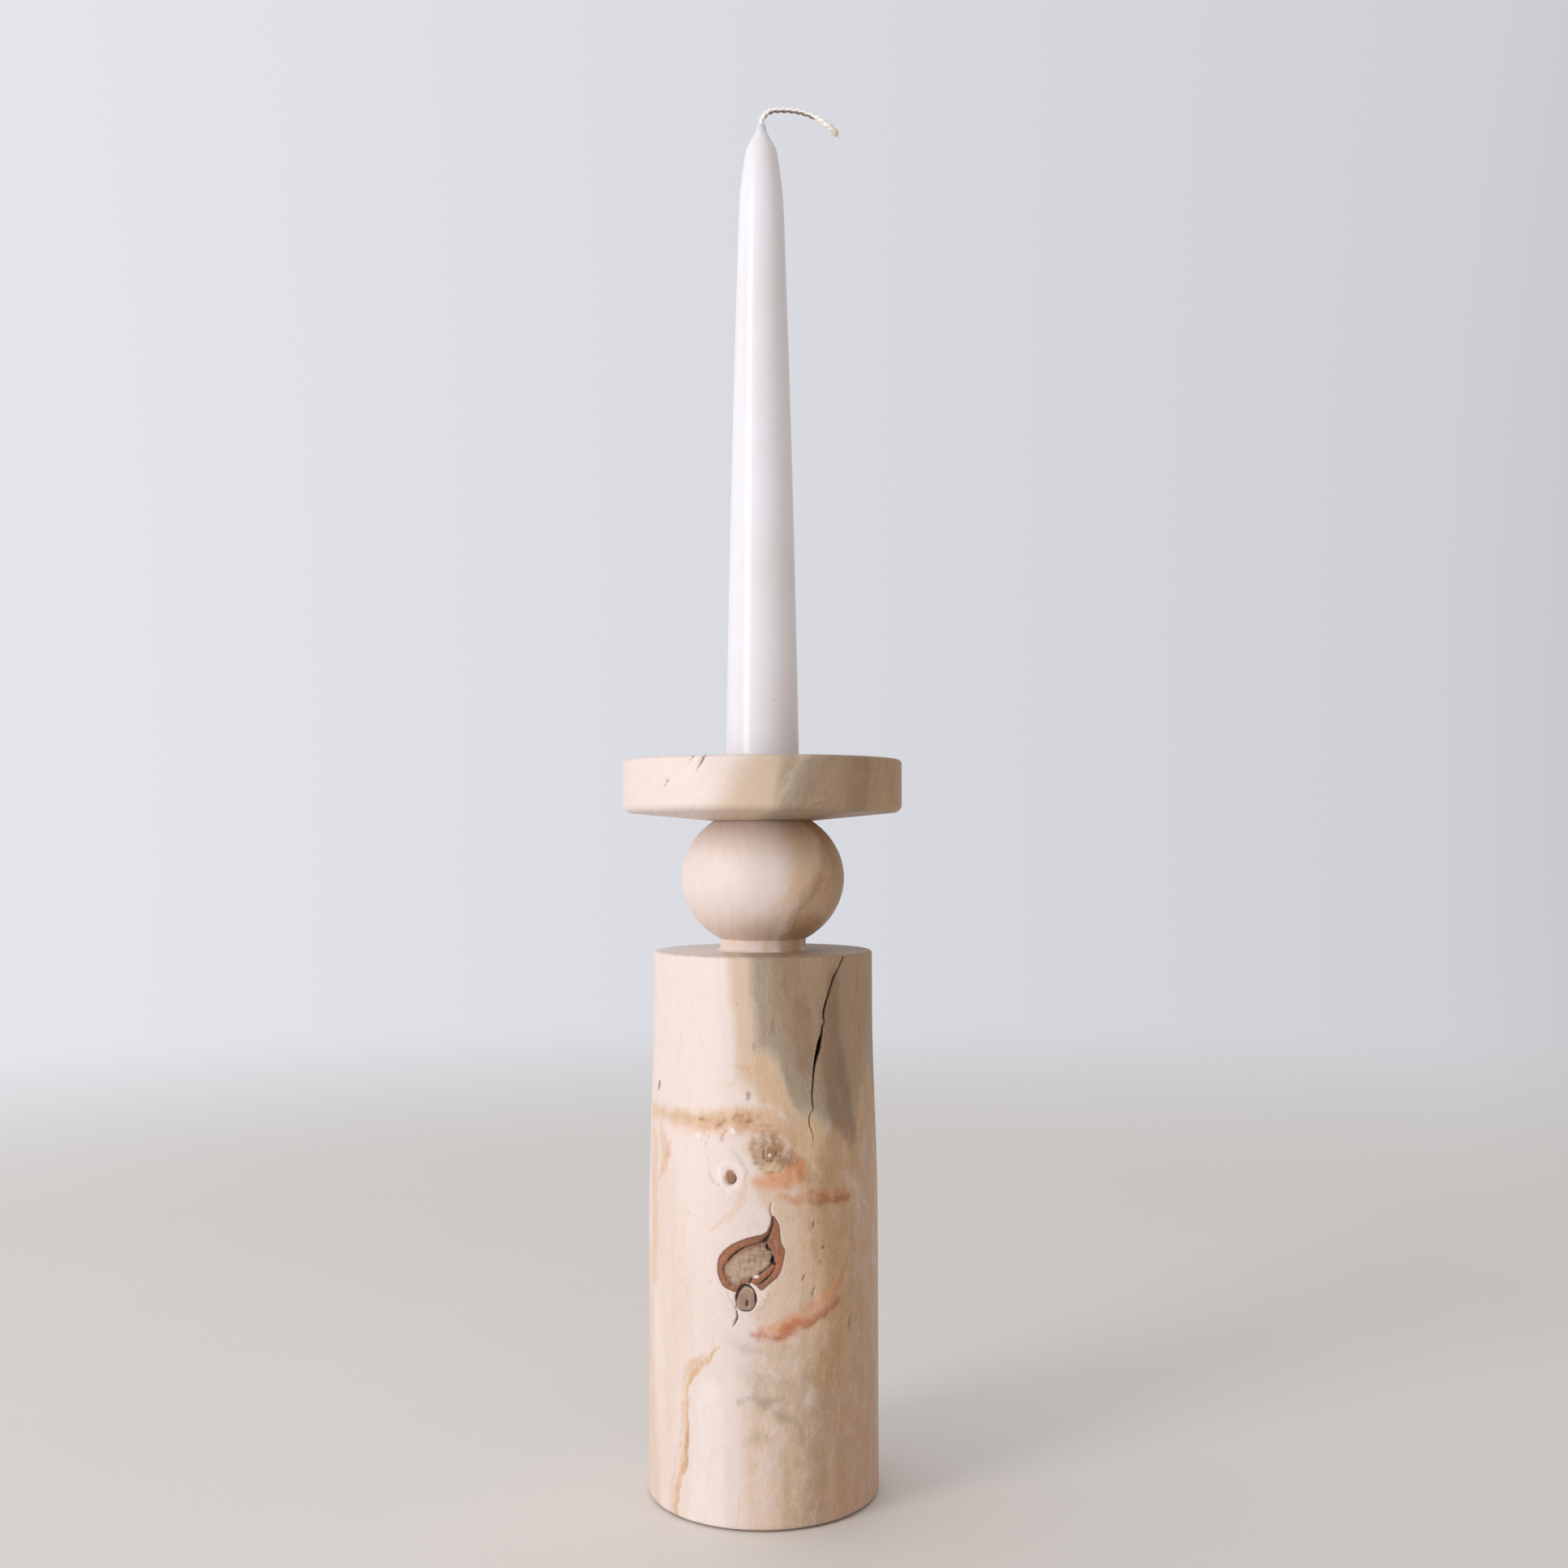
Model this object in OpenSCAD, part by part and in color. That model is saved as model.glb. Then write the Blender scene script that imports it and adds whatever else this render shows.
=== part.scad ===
// Turned wooden candlestick: a stout column, a ball neck and a drip plate that
// holds a brass cup, with a tapered candle that lifts out of the cup.
// Millimetres, +Z up. The origin is the centre of the felt's underside.

/* [Column] */
// Height of the column, without the felt that it stands on
column_h = 157.6; // [120:0.1:200]
// Diameter of the column's straight lower part
column_base_d = 68; // [64:0.1:80]
// Diameter of the column at its top
column_top_d = 65.1; // [58:0.1:68]
// Share of the height at which the column starts to narrow
taper_from = 0.49; // [0.3:0.01:0.55]
// Share of the height over which it narrows
taper_share = 0.42; // [0.3:0.01:0.42]
// Radius of the eased edges at the column's top and bottom
column_edge = 1; // [0.4:0.1:2.5]
// Length of the drying crack that runs down from the top edge
crack_h = 56; // [20:1:90]
// Width of the crack at its widest
crack_w = 1.1; // [0.4:0.1:2]
// Depth of the crack
crack_depth = 7; // [3:0.5:12]
// Direction that the crack faces, counted from the front towards the right
crack_side = 33; // [0:1:359]

/* [Ball neck] */
// Diameter of the ball
bead_d = 48.7; // [46:0.1:50]
// Full height of the oval that the ball is cut from
bead_oval_h = 42.6; // [42:0.1:43]
// Height of the ball's widest place above the column
bead_mid = 21.5; // [21:0.1:22]
// Height of the ball between the column and the plate
bead_h = 38.4; // [37:0.1:39]
// Diameter of the short neck under the ball
neck_d = 25.6; // [24:0.1:30]
// Radius of the cove between the neck and the column
neck_cove = 1.2; // [0.5:0.1:1.6]

/* [Drip plate] */
// Diameter of the drip plate
plate_d = 83.3; // [76:0.1:100]
// Thickness of the plate at its middle
plate_t = 18.1; // [17:0.1:20]
// Rise of the underside from the middle to the edge
underside_rise = 2.3; // [1:0.1:3]
// Radius of the plate's lower edge
lower_edge = 2.5; // [1:0.1:4]
// Radius of the plate's upper edge
upper_edge = 1.3; // [0.5:0.1:2.5]
// Width of the flat rim around the dish
rim_w = 3; // [2:0.1:5]
// Depth of the shallow dish
dish_depth = 3; // [2:0.1:3.5]

/* [Brass cup] */
// Inner diameter of the cup
cup_bore = 22.6; // [22.3:0.1:22.8]
// Depth of the cup, measured from the top of its flange
cup_depth = 20; // [19.5:0.1:20.5]
// Thickness of the cup's wall and floor
cup_wall = 0.8; // [0.6:0.1:1]
// Diameter of the flange
flange_d = 31; // [28:0.5:36]
// Thickness of the flange
flange_t = 1; // [0.8:0.1:1.2]

/* [Candle] */
// Length of the wax, to the point that its rounded tip aims at
candle_h = 213.4; // [150:0.1:230]
// Diameter of the candle's foot
candle_d = 22; // [21:0.1:22]
// Length of the straight foot that stands in the cup
candle_foot = 22.4; // [20:0.1:30]
// Loss of radius for each millimetre of height just above the foot
taper_slope = 0.0153; // [0.01:0.0001:0.016]
// Further loss of radius for each square millimetre of height
taper_curve = 0.000059; // [0:0.000001:0.00006]
// Height of the rounded tip
tip_h = 31; // [20:1:40]
// Diameter of the wick
wick_d = 2.3; // [1.5:0.1:3]
// Radius of the wick's sharp bend
wick_bend = 4.5; // [3:0.1:7]
// Radius of its long curl
wick_curl = 20.4; // [12:0.1:26]
// Angle that the long curl turns through
wick_turn = 51; // [20:1:80]

/* [Hidden] */
$fn = 96;

felt_d = 60;
felt_t = 1.7;
felt_proud = 0.5; // the felt holds the wood this far off the table
loose = 0.1; // added to a hole's radius around a part that is glued or screwed in

dowel_d = 12;
dowel_l = 28;
dowel_gap = 0.5; // room for glue at each end of the dowel
dowel_chamfer = 1;
flutes = 12;
flute_r = 0.7;

screw_d = 4;
screw_l = 16;
screw_head_d = 8;
screw_pitch = 1.25;
thread_depth = 0.5;
slot_w = 1;
slot_depth = 1;

wick_out = 1.5; // straight wick between the wax's point and the sharp bend
wick_reach = 2.5; // straight wick between the sharp bend and the long curl
tip_power = 3.0; // how full the rounded tip is: 2 is an oval
wax_lip = 0.4; // ring of wax left around the wick at the tip
eps = 0.01;

column_z = felt_proud;
bead_z = column_z + column_h;
plate_z = bead_z + bead_h;
dish_z = plate_z + plate_t - dish_depth;
cup_top_z = dish_z + flange_t;
candle_z = cup_top_z - cup_depth;
cup_r = cup_bore / 2 + cup_wall;
socket_r = cup_r + loose;
socket_z = candle_z - cup_wall;
bead_low = acos(neck_d / bead_d); // angle of the oval where the neck meets it
bead_high = asin((bead_h - bead_mid) / (bead_oval_h / 2)); // where the plate cuts it
bead_top_r = bead_d / 2 * cos(bead_high);
wick_z = candle_z + candle_h;

// Points of a circle's arc about [x, y], from angle a to angle b.
function arc(x, y, r, a, b, steps = 8) =
    [for (i = [0:steps]) let (t = a + (b - a) * i / steps) [x + r * cos(t), y + r * sin(t)]];

// Radius of the column at a share of its height: straight, a soft wave inwards, straight.
function column_r(s) = let (t = min(1, max(0, (s - taper_from) / taper_share)))
    column_base_d / 2 - (column_base_d - column_top_d) / 4 * (1 - cos(180 * t));

// Radius of the candle at a height above its foot: a taper that ends in a rounded tip.
function taper_r(h) = let (up = max(0, h - candle_foot))
    candle_d / 2 - taper_slope * up - taper_curve * pow(up, 2);
function candle_r(h) = let (q = max(0, (h - candle_h + tip_h) / tip_h))
    taper_r(h) * sqrt(max(0, 1 - pow(q, tip_power)));

module turned(points) rotate_extrude() polygon(points);

module column_blank() {
    e = column_edge;
    steps = 24;
    foot = arc(column_base_d / 2 - e, e, e, -90, 0);
    side = [for (i = [0:steps]) let (s = taper_from + taper_share * i / steps)
        [column_r(s), column_h * s]];
    head = arc(column_top_d / 2 - e, column_h - e, e, 0, 90);
    turned(concat([[0, 0]], foot, side, head, [[0, column_h]]));
}

// The crack is a crooked slit. Each point is its middle's place across the column,
// its share of the way down and its share of the full width.
module crack() {
    route = [[9.5, 0, 0.55], [1.5, 0.29, 0.55], [0.7, 0.39, 0.7], [-1.1, 0.48, 1],
             [-2.6, 0.68, 0.6], [-3.2, 0.79, 0.4], [-4.4, 0.86, 0.35], [-3.4, 1, 0.1]];
    function side(i, way) =
        [route[i][0] + way * crack_w * route[i][2] / 2, -crack_h * route[i][1]];
    last = len(route) - 1;
    rotate([0, 0, crack_side])
        translate([0, crack_depth - column_top_d / 2, column_h + eps])
            rotate([90, 0, 0])
                linear_extrude(height = column_base_d / 2)
                    polygon(concat([for (i = [0:last]) side(i, -1)],
                                   [for (i = [last:-1:0]) side(i, 1)]));
}

module column() {
    color("burlywood")
        translate([0, 0, column_z])
            difference() {
                column_blank();
                crack();
                translate([0, 0, -eps])
                    cylinder(d = felt_d + 2 * loose, h = felt_t - felt_proud + eps);
                translate([0, 0, column_h - dowel_l / 2 - dowel_gap])
                    cylinder(d = dowel_d + 2 * loose, h = dowel_l);
            }
}

module bead_blank() {
    steps = 28;
    cove = arc(neck_d / 2 + neck_cove, neck_cove, neck_cove, 270, 180);
    ball = [for (i = [0:steps]) let (t = -bead_low + (bead_high + bead_low) * i / steps)
        [bead_d / 2 * cos(t), bead_mid + bead_oval_h / 2 * sin(t)]];
    turned(concat([[0, 0]], cove, ball, [[0, bead_h]]));
}

module bead() {
    color("tan")
        translate([0, 0, bead_z])
            difference() {
                bead_blank();
                translate([0, 0, -eps])
                    cylinder(d = dowel_d + 2 * loose, h = dowel_l / 2 + dowel_gap + eps);
                translate([0, 0, socket_z - bead_z])
                    cylinder(r = socket_r, h = bead_h);
                translate([0, 0, candle_z - bead_z - screw_l])
                    cylinder(d = screw_d, h = screw_l);
                translate([0, 0, candle_z - bead_z])
                    screw_head(0);
            }
}

module drip_plate() {
    r = plate_d / 2;
    land = r - upper_edge - rim_w;
    underside = arc(r - lower_edge, underside_rise + lower_edge, lower_edge, -90, 0);
    edge = arc(r - upper_edge, plate_t - upper_edge, upper_edge, 0, 90);
    dish = [for (i = [0:8]) let (t = 90 * i / 8)
        [land - 2 * dish_depth * (1 - cos(t)), plate_t - dish_depth * sin(t)]];
    profile = concat([[socket_r, 0], [bead_top_r, 0]], underside, edge, dish,
                     [[socket_r, plate_t - dish_depth]]);
    color("rosybrown")
        translate([0, 0, plate_z])
            turned(profile);
}

module candle_cup() {
    lip = flange_t / 2;
    rolled = arc(flange_d / 2 - lip, -lip, lip, -90, 90);
    profile = concat([[0, -cup_depth - cup_wall], [cup_r, -cup_depth - cup_wall],
                      [cup_r, -flange_t]], rolled,
                     [[cup_bore / 2, 0], [cup_bore / 2, -cup_depth], [0, -cup_depth]]);
    color("gold")
        translate([0, 0, cup_top_z])
            difference() {
                turned(profile);
                translate([0, 0, -cup_depth])
                    screw_head(0);
            }
}

// Countersunk head, with its flat top at z = 0.
module screw_head(slot) {
    head_h = (screw_head_d - screw_d) / 2;
    difference() {
        translate([0, 0, -head_h])
            cylinder(d1 = screw_d, d2 = screw_head_d, h = head_h);
        if (slot > 0)
            translate([-screw_head_d, -slot / 2, -slot_depth])
                cube([2 * screw_head_d, slot, slot_depth + eps]);
    }
}

module cup_screw() {
    core = screw_d / 2 - thread_depth;
    plain = 5; // unthreaded length under the head's top
    turns = floor((screw_l - plain - screw_d / 2) / screw_pitch);
    thread = [for (i = [0:turns - 1], p = [0, 1])
        [core + thread_depth * p, -plain - screw_pitch * (i + 0.5 * p)]];
    color("gold")
        translate([0, 0, candle_z]) {
            screw_head(slot_w);
            turned(concat([[0, -2], [screw_d / 2, -2], [screw_d / 2, -plain + 0.6]], thread,
                          [[core, -plain - screw_pitch * turns], [0, -screw_l]]));
        }
}

module dowel() {
    c = dowel_chamfer;
    r = dowel_d / 2;
    color("wheat")
        translate([0, 0, bead_z - dowel_l / 2])
            difference() {
                turned([[0, 0], [r - c, 0], [r, c], [r, dowel_l - c], [r - c, dowel_l],
                        [0, dowel_l]]);
                for (i = [0:flutes - 1])
                    rotate([0, 0, 360 / flutes * i])
                        translate([r + flute_r / 3, 0, -eps])
                            cylinder(r = flute_r, h = dowel_l + 2 * eps);
            }
}

module base_pad() {
    color("darkolivegreen")
        cylinder(d = felt_d, h = felt_t);
}

module candle() {
    end = wick_d / 2 + wax_lip;
    tip_cut = tip_h * pow(1 - pow(end / taper_r(candle_h), 2), 1 / tip_power);
    shoulder = candle_h - tip_h;
    steps = 14;
    body = [for (i = [0:steps]) let (h = candle_foot + (shoulder - candle_foot) * i / steps)
        [candle_r(h), h]];
    tip = [for (i = [1:steps]) let (h = shoulder + tip_cut * (1 - pow(1 - i / steps, 2)))
        [candle_r(h), h]];
    color("ivory")
        translate([0, 0, candle_z])
            difference() {
                turned(concat([[0, 0], [candle_d / 2, 0]], body, tip, [[0, shoulder + tip_cut]]));
                translate([0, 0, -eps])
                    cylinder(d = wick_d + loose, h = candle_h + 2 * eps);
            }
}

// A ring segment of the wick in the XZ plane, from angle a to angle b about its centre.
module wick_arc(radius, a, b) {
    rotate([90, 0, 0])
        rotate([0, 0, a])
            rotate_extrude(angle = b - a)
                translate([radius, 0])
                    circle(d = wick_d);
}

// Rounds and closes the place where two stretches of the wick meet.
module wick_joint() {
    sphere(d = wick_d + 2 * eps);
}

module wick() {
    color("beige")
        translate([0, 0, wick_z + wick_out]) {
            translate([0, 0, -wick_out - candle_h])
                cylinder(d = wick_d, h = candle_h + wick_out);
            wick_joint();
            translate([wick_bend, 0, 0])
                wick_arc(wick_bend, 90, 180);
            translate([wick_bend, 0, wick_bend]) {
                wick_joint();
                rotate([0, 90, 0])
                    cylinder(d = wick_d, h = wick_reach);
            }
            translate([wick_bend + wick_reach, 0, wick_bend]) {
                wick_joint();
                translate([0, 0, -wick_curl])
                    wick_arc(wick_curl, 90 - wick_turn, 90);
            }
        }
}

column();
bead();
drip_plate();
candle_cup();
cup_screw();
dowel();
base_pad();
candle();
wick();
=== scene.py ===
import math
import random
from functools import partial
import bmesh
import bpy
import numpy as np
from mathutils import Matrix, Vector


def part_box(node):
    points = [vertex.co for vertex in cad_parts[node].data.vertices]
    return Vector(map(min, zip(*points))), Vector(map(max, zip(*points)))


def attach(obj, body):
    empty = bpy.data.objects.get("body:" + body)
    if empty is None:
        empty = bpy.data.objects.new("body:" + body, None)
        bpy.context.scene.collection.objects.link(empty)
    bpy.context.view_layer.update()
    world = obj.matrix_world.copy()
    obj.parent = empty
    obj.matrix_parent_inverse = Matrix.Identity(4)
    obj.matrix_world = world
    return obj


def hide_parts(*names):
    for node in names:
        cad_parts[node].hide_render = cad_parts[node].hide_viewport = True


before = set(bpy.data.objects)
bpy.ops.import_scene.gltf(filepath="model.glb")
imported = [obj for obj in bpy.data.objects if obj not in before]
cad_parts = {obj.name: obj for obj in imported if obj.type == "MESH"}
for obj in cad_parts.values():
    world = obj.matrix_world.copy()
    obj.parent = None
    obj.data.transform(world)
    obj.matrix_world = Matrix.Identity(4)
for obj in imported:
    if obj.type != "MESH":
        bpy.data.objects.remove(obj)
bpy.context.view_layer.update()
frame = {"nodes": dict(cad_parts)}
mm = 0.001
print("frame loaded:", ", ".join(frame["nodes"]))


# ---- small tools ----

def linear(hexColour):
    # sRGB hex to linear RGBA
    channels = [int(hexColour[i:i + 2], 16) / 255 for i in (1, 3, 5)]
    return [c / 12.92 if c <= 0.04045 else ((c + 0.055) / 1.055) ** 2.4 for c in channels] + [1.0]


# the setting that says what a kind of node does
choices = {"Math": "operation", "VectorMath": "operation", "Mix": "blend_type",
           "MapRange": "interpolation_type"}


def addNode(tree, kind, inputs=(), output=0, stops=None, **settings):
    # Adds a node: "Math.ADD" is a Math node that adds. Its inputs are values or links, in order
    # or by name. Gives back one of its outputs, or all of them when output is None.
    kind, _, choice = kind.partition(".")
    family = "ShaderNode" if hasattr(bpy.types, "ShaderNode" + kind) else "GeometryNode"
    node = tree.nodes.new(family + kind)
    if choice:
        settings[choices[kind]] = choice
    for name, value in settings.items():
        setattr(node, name, value)
    if stops:
        elements = node.color_ramp.elements
        while len(elements) < len(stops):
            elements.new(0.5)
        for element, (place, tone) in zip(elements, stops):
            element.position = place
            element.color = linear(tone)
    for key, value in inputs.items() if isinstance(inputs, dict) else enumerate(inputs):
        if isinstance(value, bpy.types.NodeSocket):
            tree.links.new(value, node.inputs[key])
        else:
            node.inputs[key].default_value = value
    return node.outputs if output is None else node.outputs[output]


def newMaterial(name, **sockets):
    # a Principled material; sockets holds its fixed values by socket name with spaces as _
    material = bpy.data.materials.new(name)
    material.use_nodes = True
    tree = material.node_tree
    tree.nodes.clear()
    skin = tree.nodes.new("ShaderNodeBsdfPrincipled")
    out = tree.nodes.new("ShaderNodeOutputMaterial")
    tree.links.new(skin.outputs["BSDF"], out.inputs["Surface"])
    for key, value in sockets.items():
        skin.inputs[key.replace("_", " ")].default_value = value
    return material, tree, skin


def mottle(tree, place, scale, detail, stops):
    # noise, and the colours it gives; three scales stretch it along an axis
    if isinstance(scale, tuple):
        place, scale = addNode(tree, "VectorMath.MULTIPLY", (place, scale)), 1.0
    noise = addNode(tree, "TexNoise", {"Vector": place, "Scale": scale, "Detail": detail})
    return noise, addNode(tree, "ValToRGB", (noise,), stops=stops) if stops else None


def dressSkin(tree, skin, colour, height, strength, depth, roughness=None):
    # links a material's colour, its relief (depth in mm) and, where it varies, its roughness
    bump = addNode(tree, "Bump", {"Height": height, "Strength": strength,
                                  "Distance": depth * mm})
    for name, socket in (("Base Color", colour), ("Normal", bump), ("Roughness", roughness)):
        if socket:
            tree.links.new(socket, skin.inputs[name])


def boxMm(node):
    low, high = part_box(node)
    return [v / mm for v in low], [v / mm for v in high]


def arc(x, z, r, start, end, steps=6):
    # points of a circle's arc about (x, z), from one angle to another
    angles = [math.radians(start + (end - start) * i / steps) for i in range(steps + 1)]
    return [(x + r * math.cos(a), z + r * math.sin(a)) for a in angles]


def smoothPath(points, steps=8, closed=False):
    # Catmull-Rom curve through given points
    p = np.array(points, float)
    n = len(p)
    found = []
    for i in range(n if closed else n - 1):
        if closed:
            a, b, c, d = (p[(i + k) % n] for k in (-1, 0, 1, 2))
        else:
            a, b, c, d = p[max(i - 1, 0)], p[i], p[i + 1], p[min(i + 2, n - 1)]
        for t in np.arange(steps) / steps:
            found.append(0.5 * (2 * b + (c - a) * t + (2 * a - 5 * b + 4 * c - d) * t ** 2
                                + (3 * b - a - 3 * c + d) * t ** 3))
    if not closed:
        found.append(p[-1])
    return np.array(found)


def refine(outline, step):
    # adds points along straight stretches, so that no two are further apart than step allows
    found = [outline[0]]
    for (x0, z0), (x1, z1) in zip(outline, outline[1:]):
        gap = step(0.5 * (z0 + z1)) if callable(step) else step
        count = max(1, math.ceil(math.hypot(x1 - x0, z1 - z0) / gap))
        found += [(x0 + (x1 - x0) * i / count, z0 + (z1 - z0) * i / count)
                  for i in range(1, count + 1)]
    return found


def strokeGap(u, z, points, reach, full):
    # how far each point lies outside a stroke; its points are (place, height, half width)
    path = smoothPath(points, 4) if len(points) > 1 else np.array([points[0]] * 2, float)
    middle = path[:, 0].mean()
    across = (u - middle + full / 2) % full - full / 2 + middle    # the nearest way round
    (u0, z0, _), (u1, z1, most) = path.min(0), path.max(0)
    margin = reach + most
    near = np.flatnonzero((across > u0 - margin) & (across < u1 + margin)
                          & (z > z0 - margin) & (z < z1 + margin))
    found = np.full(len(u), 99.0)
    x, y, best = across[near], z[near], np.full(len(near), 99.0)
    for a, b in zip(path, path[1:]):
        run = b[:2] - a[:2]
        t = np.clip(((x - a[0]) * run[0] + (y - a[1]) * run[1]) / max(run @ run, 1e-9), 0, 1)
        gap = np.hypot(x - a[0] - t * run[0], y - a[1] - t * run[1]) - a[2] - t * (b[2] - a[2])
        best = np.minimum(best, gap)
    found[near] = best
    return found


def loopDistance(u, z, loop):
    # signed distance from a closed loop, below zero inside it
    inside, best = np.zeros(len(u), bool), np.full(len(u), 99.0)
    for a, b in zip(loop, np.roll(loop, -1, axis=0)):
        if a[1] != b[1]:
            crosses = (a[1] > z) != (b[1] > z)
            inside ^= crosses & (u < (b[0] - a[0]) * (z - a[1]) / (b[1] - a[1]) + a[0])
        run = b - a
        t = np.clip(((u - a[0]) * run[0] + (z - a[1]) * run[1]) / max(run @ run, 1e-9), 0, 1)
        best = np.minimum(best, np.hypot(u - a[0] - t * run[0], z - a[1] - t * run[1]))
    return np.where(inside, -best, best)


def fade(gap, soft):
    # 1 well inside, a half at the outline, 0 well outside
    t = np.clip(0.5 - gap / soft, 0, 1)
    return t * t * (3 - 2 * t)


def places(mesh):
    found = np.empty(len(mesh.vertices) * 3, np.float32)
    mesh.vertices.foreach_get("co", found)
    return found.reshape(-1, 3).astype(float) / mm


def setPlaces(mesh, points):
    mesh.vertices.foreach_set("co", (points * mm).astype(np.float32).ravel())
    mesh.update()


def mark(mesh, name, values):
    # a named number or vector on each point, for a material to read
    kind, field = ("FLOAT_VECTOR", "vector") if values.ndim == 2 else ("FLOAT", "value")
    layer = mesh.attributes.new(name, kind, "POINT")
    layer.data.foreach_set(field, values.astype(np.float32).ravel())


def settle(mesh, sharpAngle=40):
    # merges doubles, turns the faces outwards and shades them smooth between sharp edges
    bm = bmesh.new()
    bm.from_mesh(mesh)
    bmesh.ops.remove_doubles(bm, verts=bm.verts, dist=1e-6)
    bmesh.ops.recalc_face_normals(bm, faces=bm.faces)
    bm.to_mesh(mesh)
    bm.free()
    mesh.shade_smooth()
    mesh.set_sharp_from_angle(angle=math.radians(sharpAngle))


def newPiece(name, mesh, body, node, material):
    piece = bpy.data.objects.new(name, mesh)
    bpy.context.scene.collection.objects.link(piece)
    mesh.name = name
    mesh.materials.clear()
    mesh.materials.append(material)
    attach(piece, body)
    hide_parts(node)


# ---- camera, lamps and floor ----

view = {
    "distance": 502.1, "height": 191.9, "aside": 6.4,   # mm from the turning axis
    "pitch": 1.784, "roll": -0.141,                     # degrees
    "lens": 38.52, "sensor": 36.0,
}
camera = bpy.data.objects.new("camera", bpy.data.cameras.new("camera"))
camera.data.lens = view["lens"]
camera.data.sensor_width = view["sensor"]
camera.data.clip_start = 0.01
camera.matrix_world = (
    Matrix.Translation((view["aside"] * mm, -view["distance"] * mm, view["height"] * mm))
    @ Matrix.Rotation(math.radians(90 + view["pitch"]), 4, "X")
    @ Matrix.Rotation(math.radians(view["roll"]), 4, "Z"))
bpy.context.scene.collection.objects.link(camera)
bpy.context.scene.camera = camera

# a tall window on the left and a little in front, a broad pale wash behind it, and a pale room
lamps = {
    "window": {"azimuth": -52, "elevation": 10, "distance": 1.5, "size": (0.5, 1.4),
               "power": 12.2, "tone": "#FFFAF7"},
    "warmBounce": {"azimuth": 75, "elevation": -4, "distance": 1.4, "size": (1.6, 1.2),
                   "power": 3.4, "tone": "#E3B078"},
    "leftWash": {"azimuth": -100, "elevation": 25, "distance": 1.8, "size": (1.4, 1.6),
                 "power": 1.6, "tone": "#FBFCFF"},
}
aim = Vector((0, 0, 0.2))
for name, look in lamps.items():
    lamp = bpy.data.lights.new(name, "AREA")
    lamp.shape = "RECTANGLE"
    lamp.size, lamp.size_y = look["size"]
    lamp.energy = look["power"]
    lamp.color = linear(look["tone"])[:3]
    holder = bpy.data.objects.new(name, lamp)
    turn, rise = math.radians(look["azimuth"]), math.radians(look["elevation"])
    way = Vector((math.sin(turn) * math.cos(rise), -math.cos(turn) * math.cos(rise),
                  math.sin(rise)))
    holder.location = aim + way * look["distance"]
    holder.rotation_euler = way.to_track_quat("Z", "Y").to_euler()
    holder.visible_camera = False
    bpy.context.scene.collection.objects.link(holder)

# the room is brighter on the window's side
room = bpy.data.worlds.new("paleRoom")
room.use_nodes = True
tree = room.node_tree
toward = addNode(tree, "TexCoord", output="Generated")
side = addNode(tree, "MapRange", (addNode(tree, "SeparateXYZ", (toward,), "X"), -0.9, 0.9))
wall = addNode(tree, "ValToRGB", (side,), stops=[
    (0.0, "#CFCED2"), (0.2, "#E9EAEF"), (0.45, "#DCDDE3"), (0.7, "#CFD0D4"),
    (0.85, "#B4B2B0"), (1.0, "#A29F9C")])
tree.links.new(wall, tree.nodes["Background"].inputs["Color"])
bpy.context.scene.world = room
bpy.context.scene.view_settings.view_transform = "Standard"

# floor paint: matt and nearly even, and it fades into the room, with no horizon
floorMaterial, tree, skin = newMaterial("paleFloorPaint", Roughness=0.6)
grit = addNode(tree, "TexNoise", {"Scale": 9.0, "Detail": 8.0, "Roughness": 0.7})
tint = addNode(tree, "ValToRGB", (grit,), stops=[(0.3, "#E4DED7"), (0.7, "#E7E2DB")])
tree.links.new(tint, skin.inputs["Base Color"])
here = addNode(tree, "TexCoord", output="Object")
away = addNode(tree, "VectorMath.LENGTH", (here,), "Value")
seen = addNode(tree, "MapRange.SMOOTHSTEP", (away, 0.4, 1.3, 1.0, 0.0))
tree.links.new(seen, skin.inputs["Alpha"])
floorMesh = bpy.data.meshes.new("floor")
bm = bmesh.new()
bmesh.ops.create_circle(bm, cap_ends=True, segments=96, radius=3.0)
bm.to_mesh(floorMesh)
bm.free()
floorMesh.materials.append(floorMaterial)
floor = bpy.data.objects.new("floor", floorMesh)
bpy.context.scene.collection.objects.link(floor)
print("camera, lamps and floor set")


# ---- turned forms: an outline carried round the axis ----

def newTree(name, **kinds):
    # a Geometry Nodes tree with its named inputs, and a shorthand that adds nodes to it
    tree = bpy.data.node_groups.new(name, "GeometryNodeTree")
    for label, kind in {"Geometry": "Geometry", **kinds, "Material": "Material"}.items():
        tree.interface.new_socket(label.replace("_", " "), in_out="INPUT",
                                  socket_type="NodeSocket" + kind)
    tree.interface.new_socket("Geometry", in_out="OUTPUT", socket_type="NodeSocketGeometry")
    return tree, tree.nodes.new("NodeGroupInput").outputs, partial(addNode, tree)


def endTree(tree, given, geometry):
    real = addNode(tree, "RealizeInstances", (geometry,))
    dressed = addNode(tree, "SetMaterial", {"Geometry": real, "Material": given["Material"]})
    tree.links.new(dressed, tree.nodes.new("NodeGroupOutput").inputs[0])
    return tree


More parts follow.
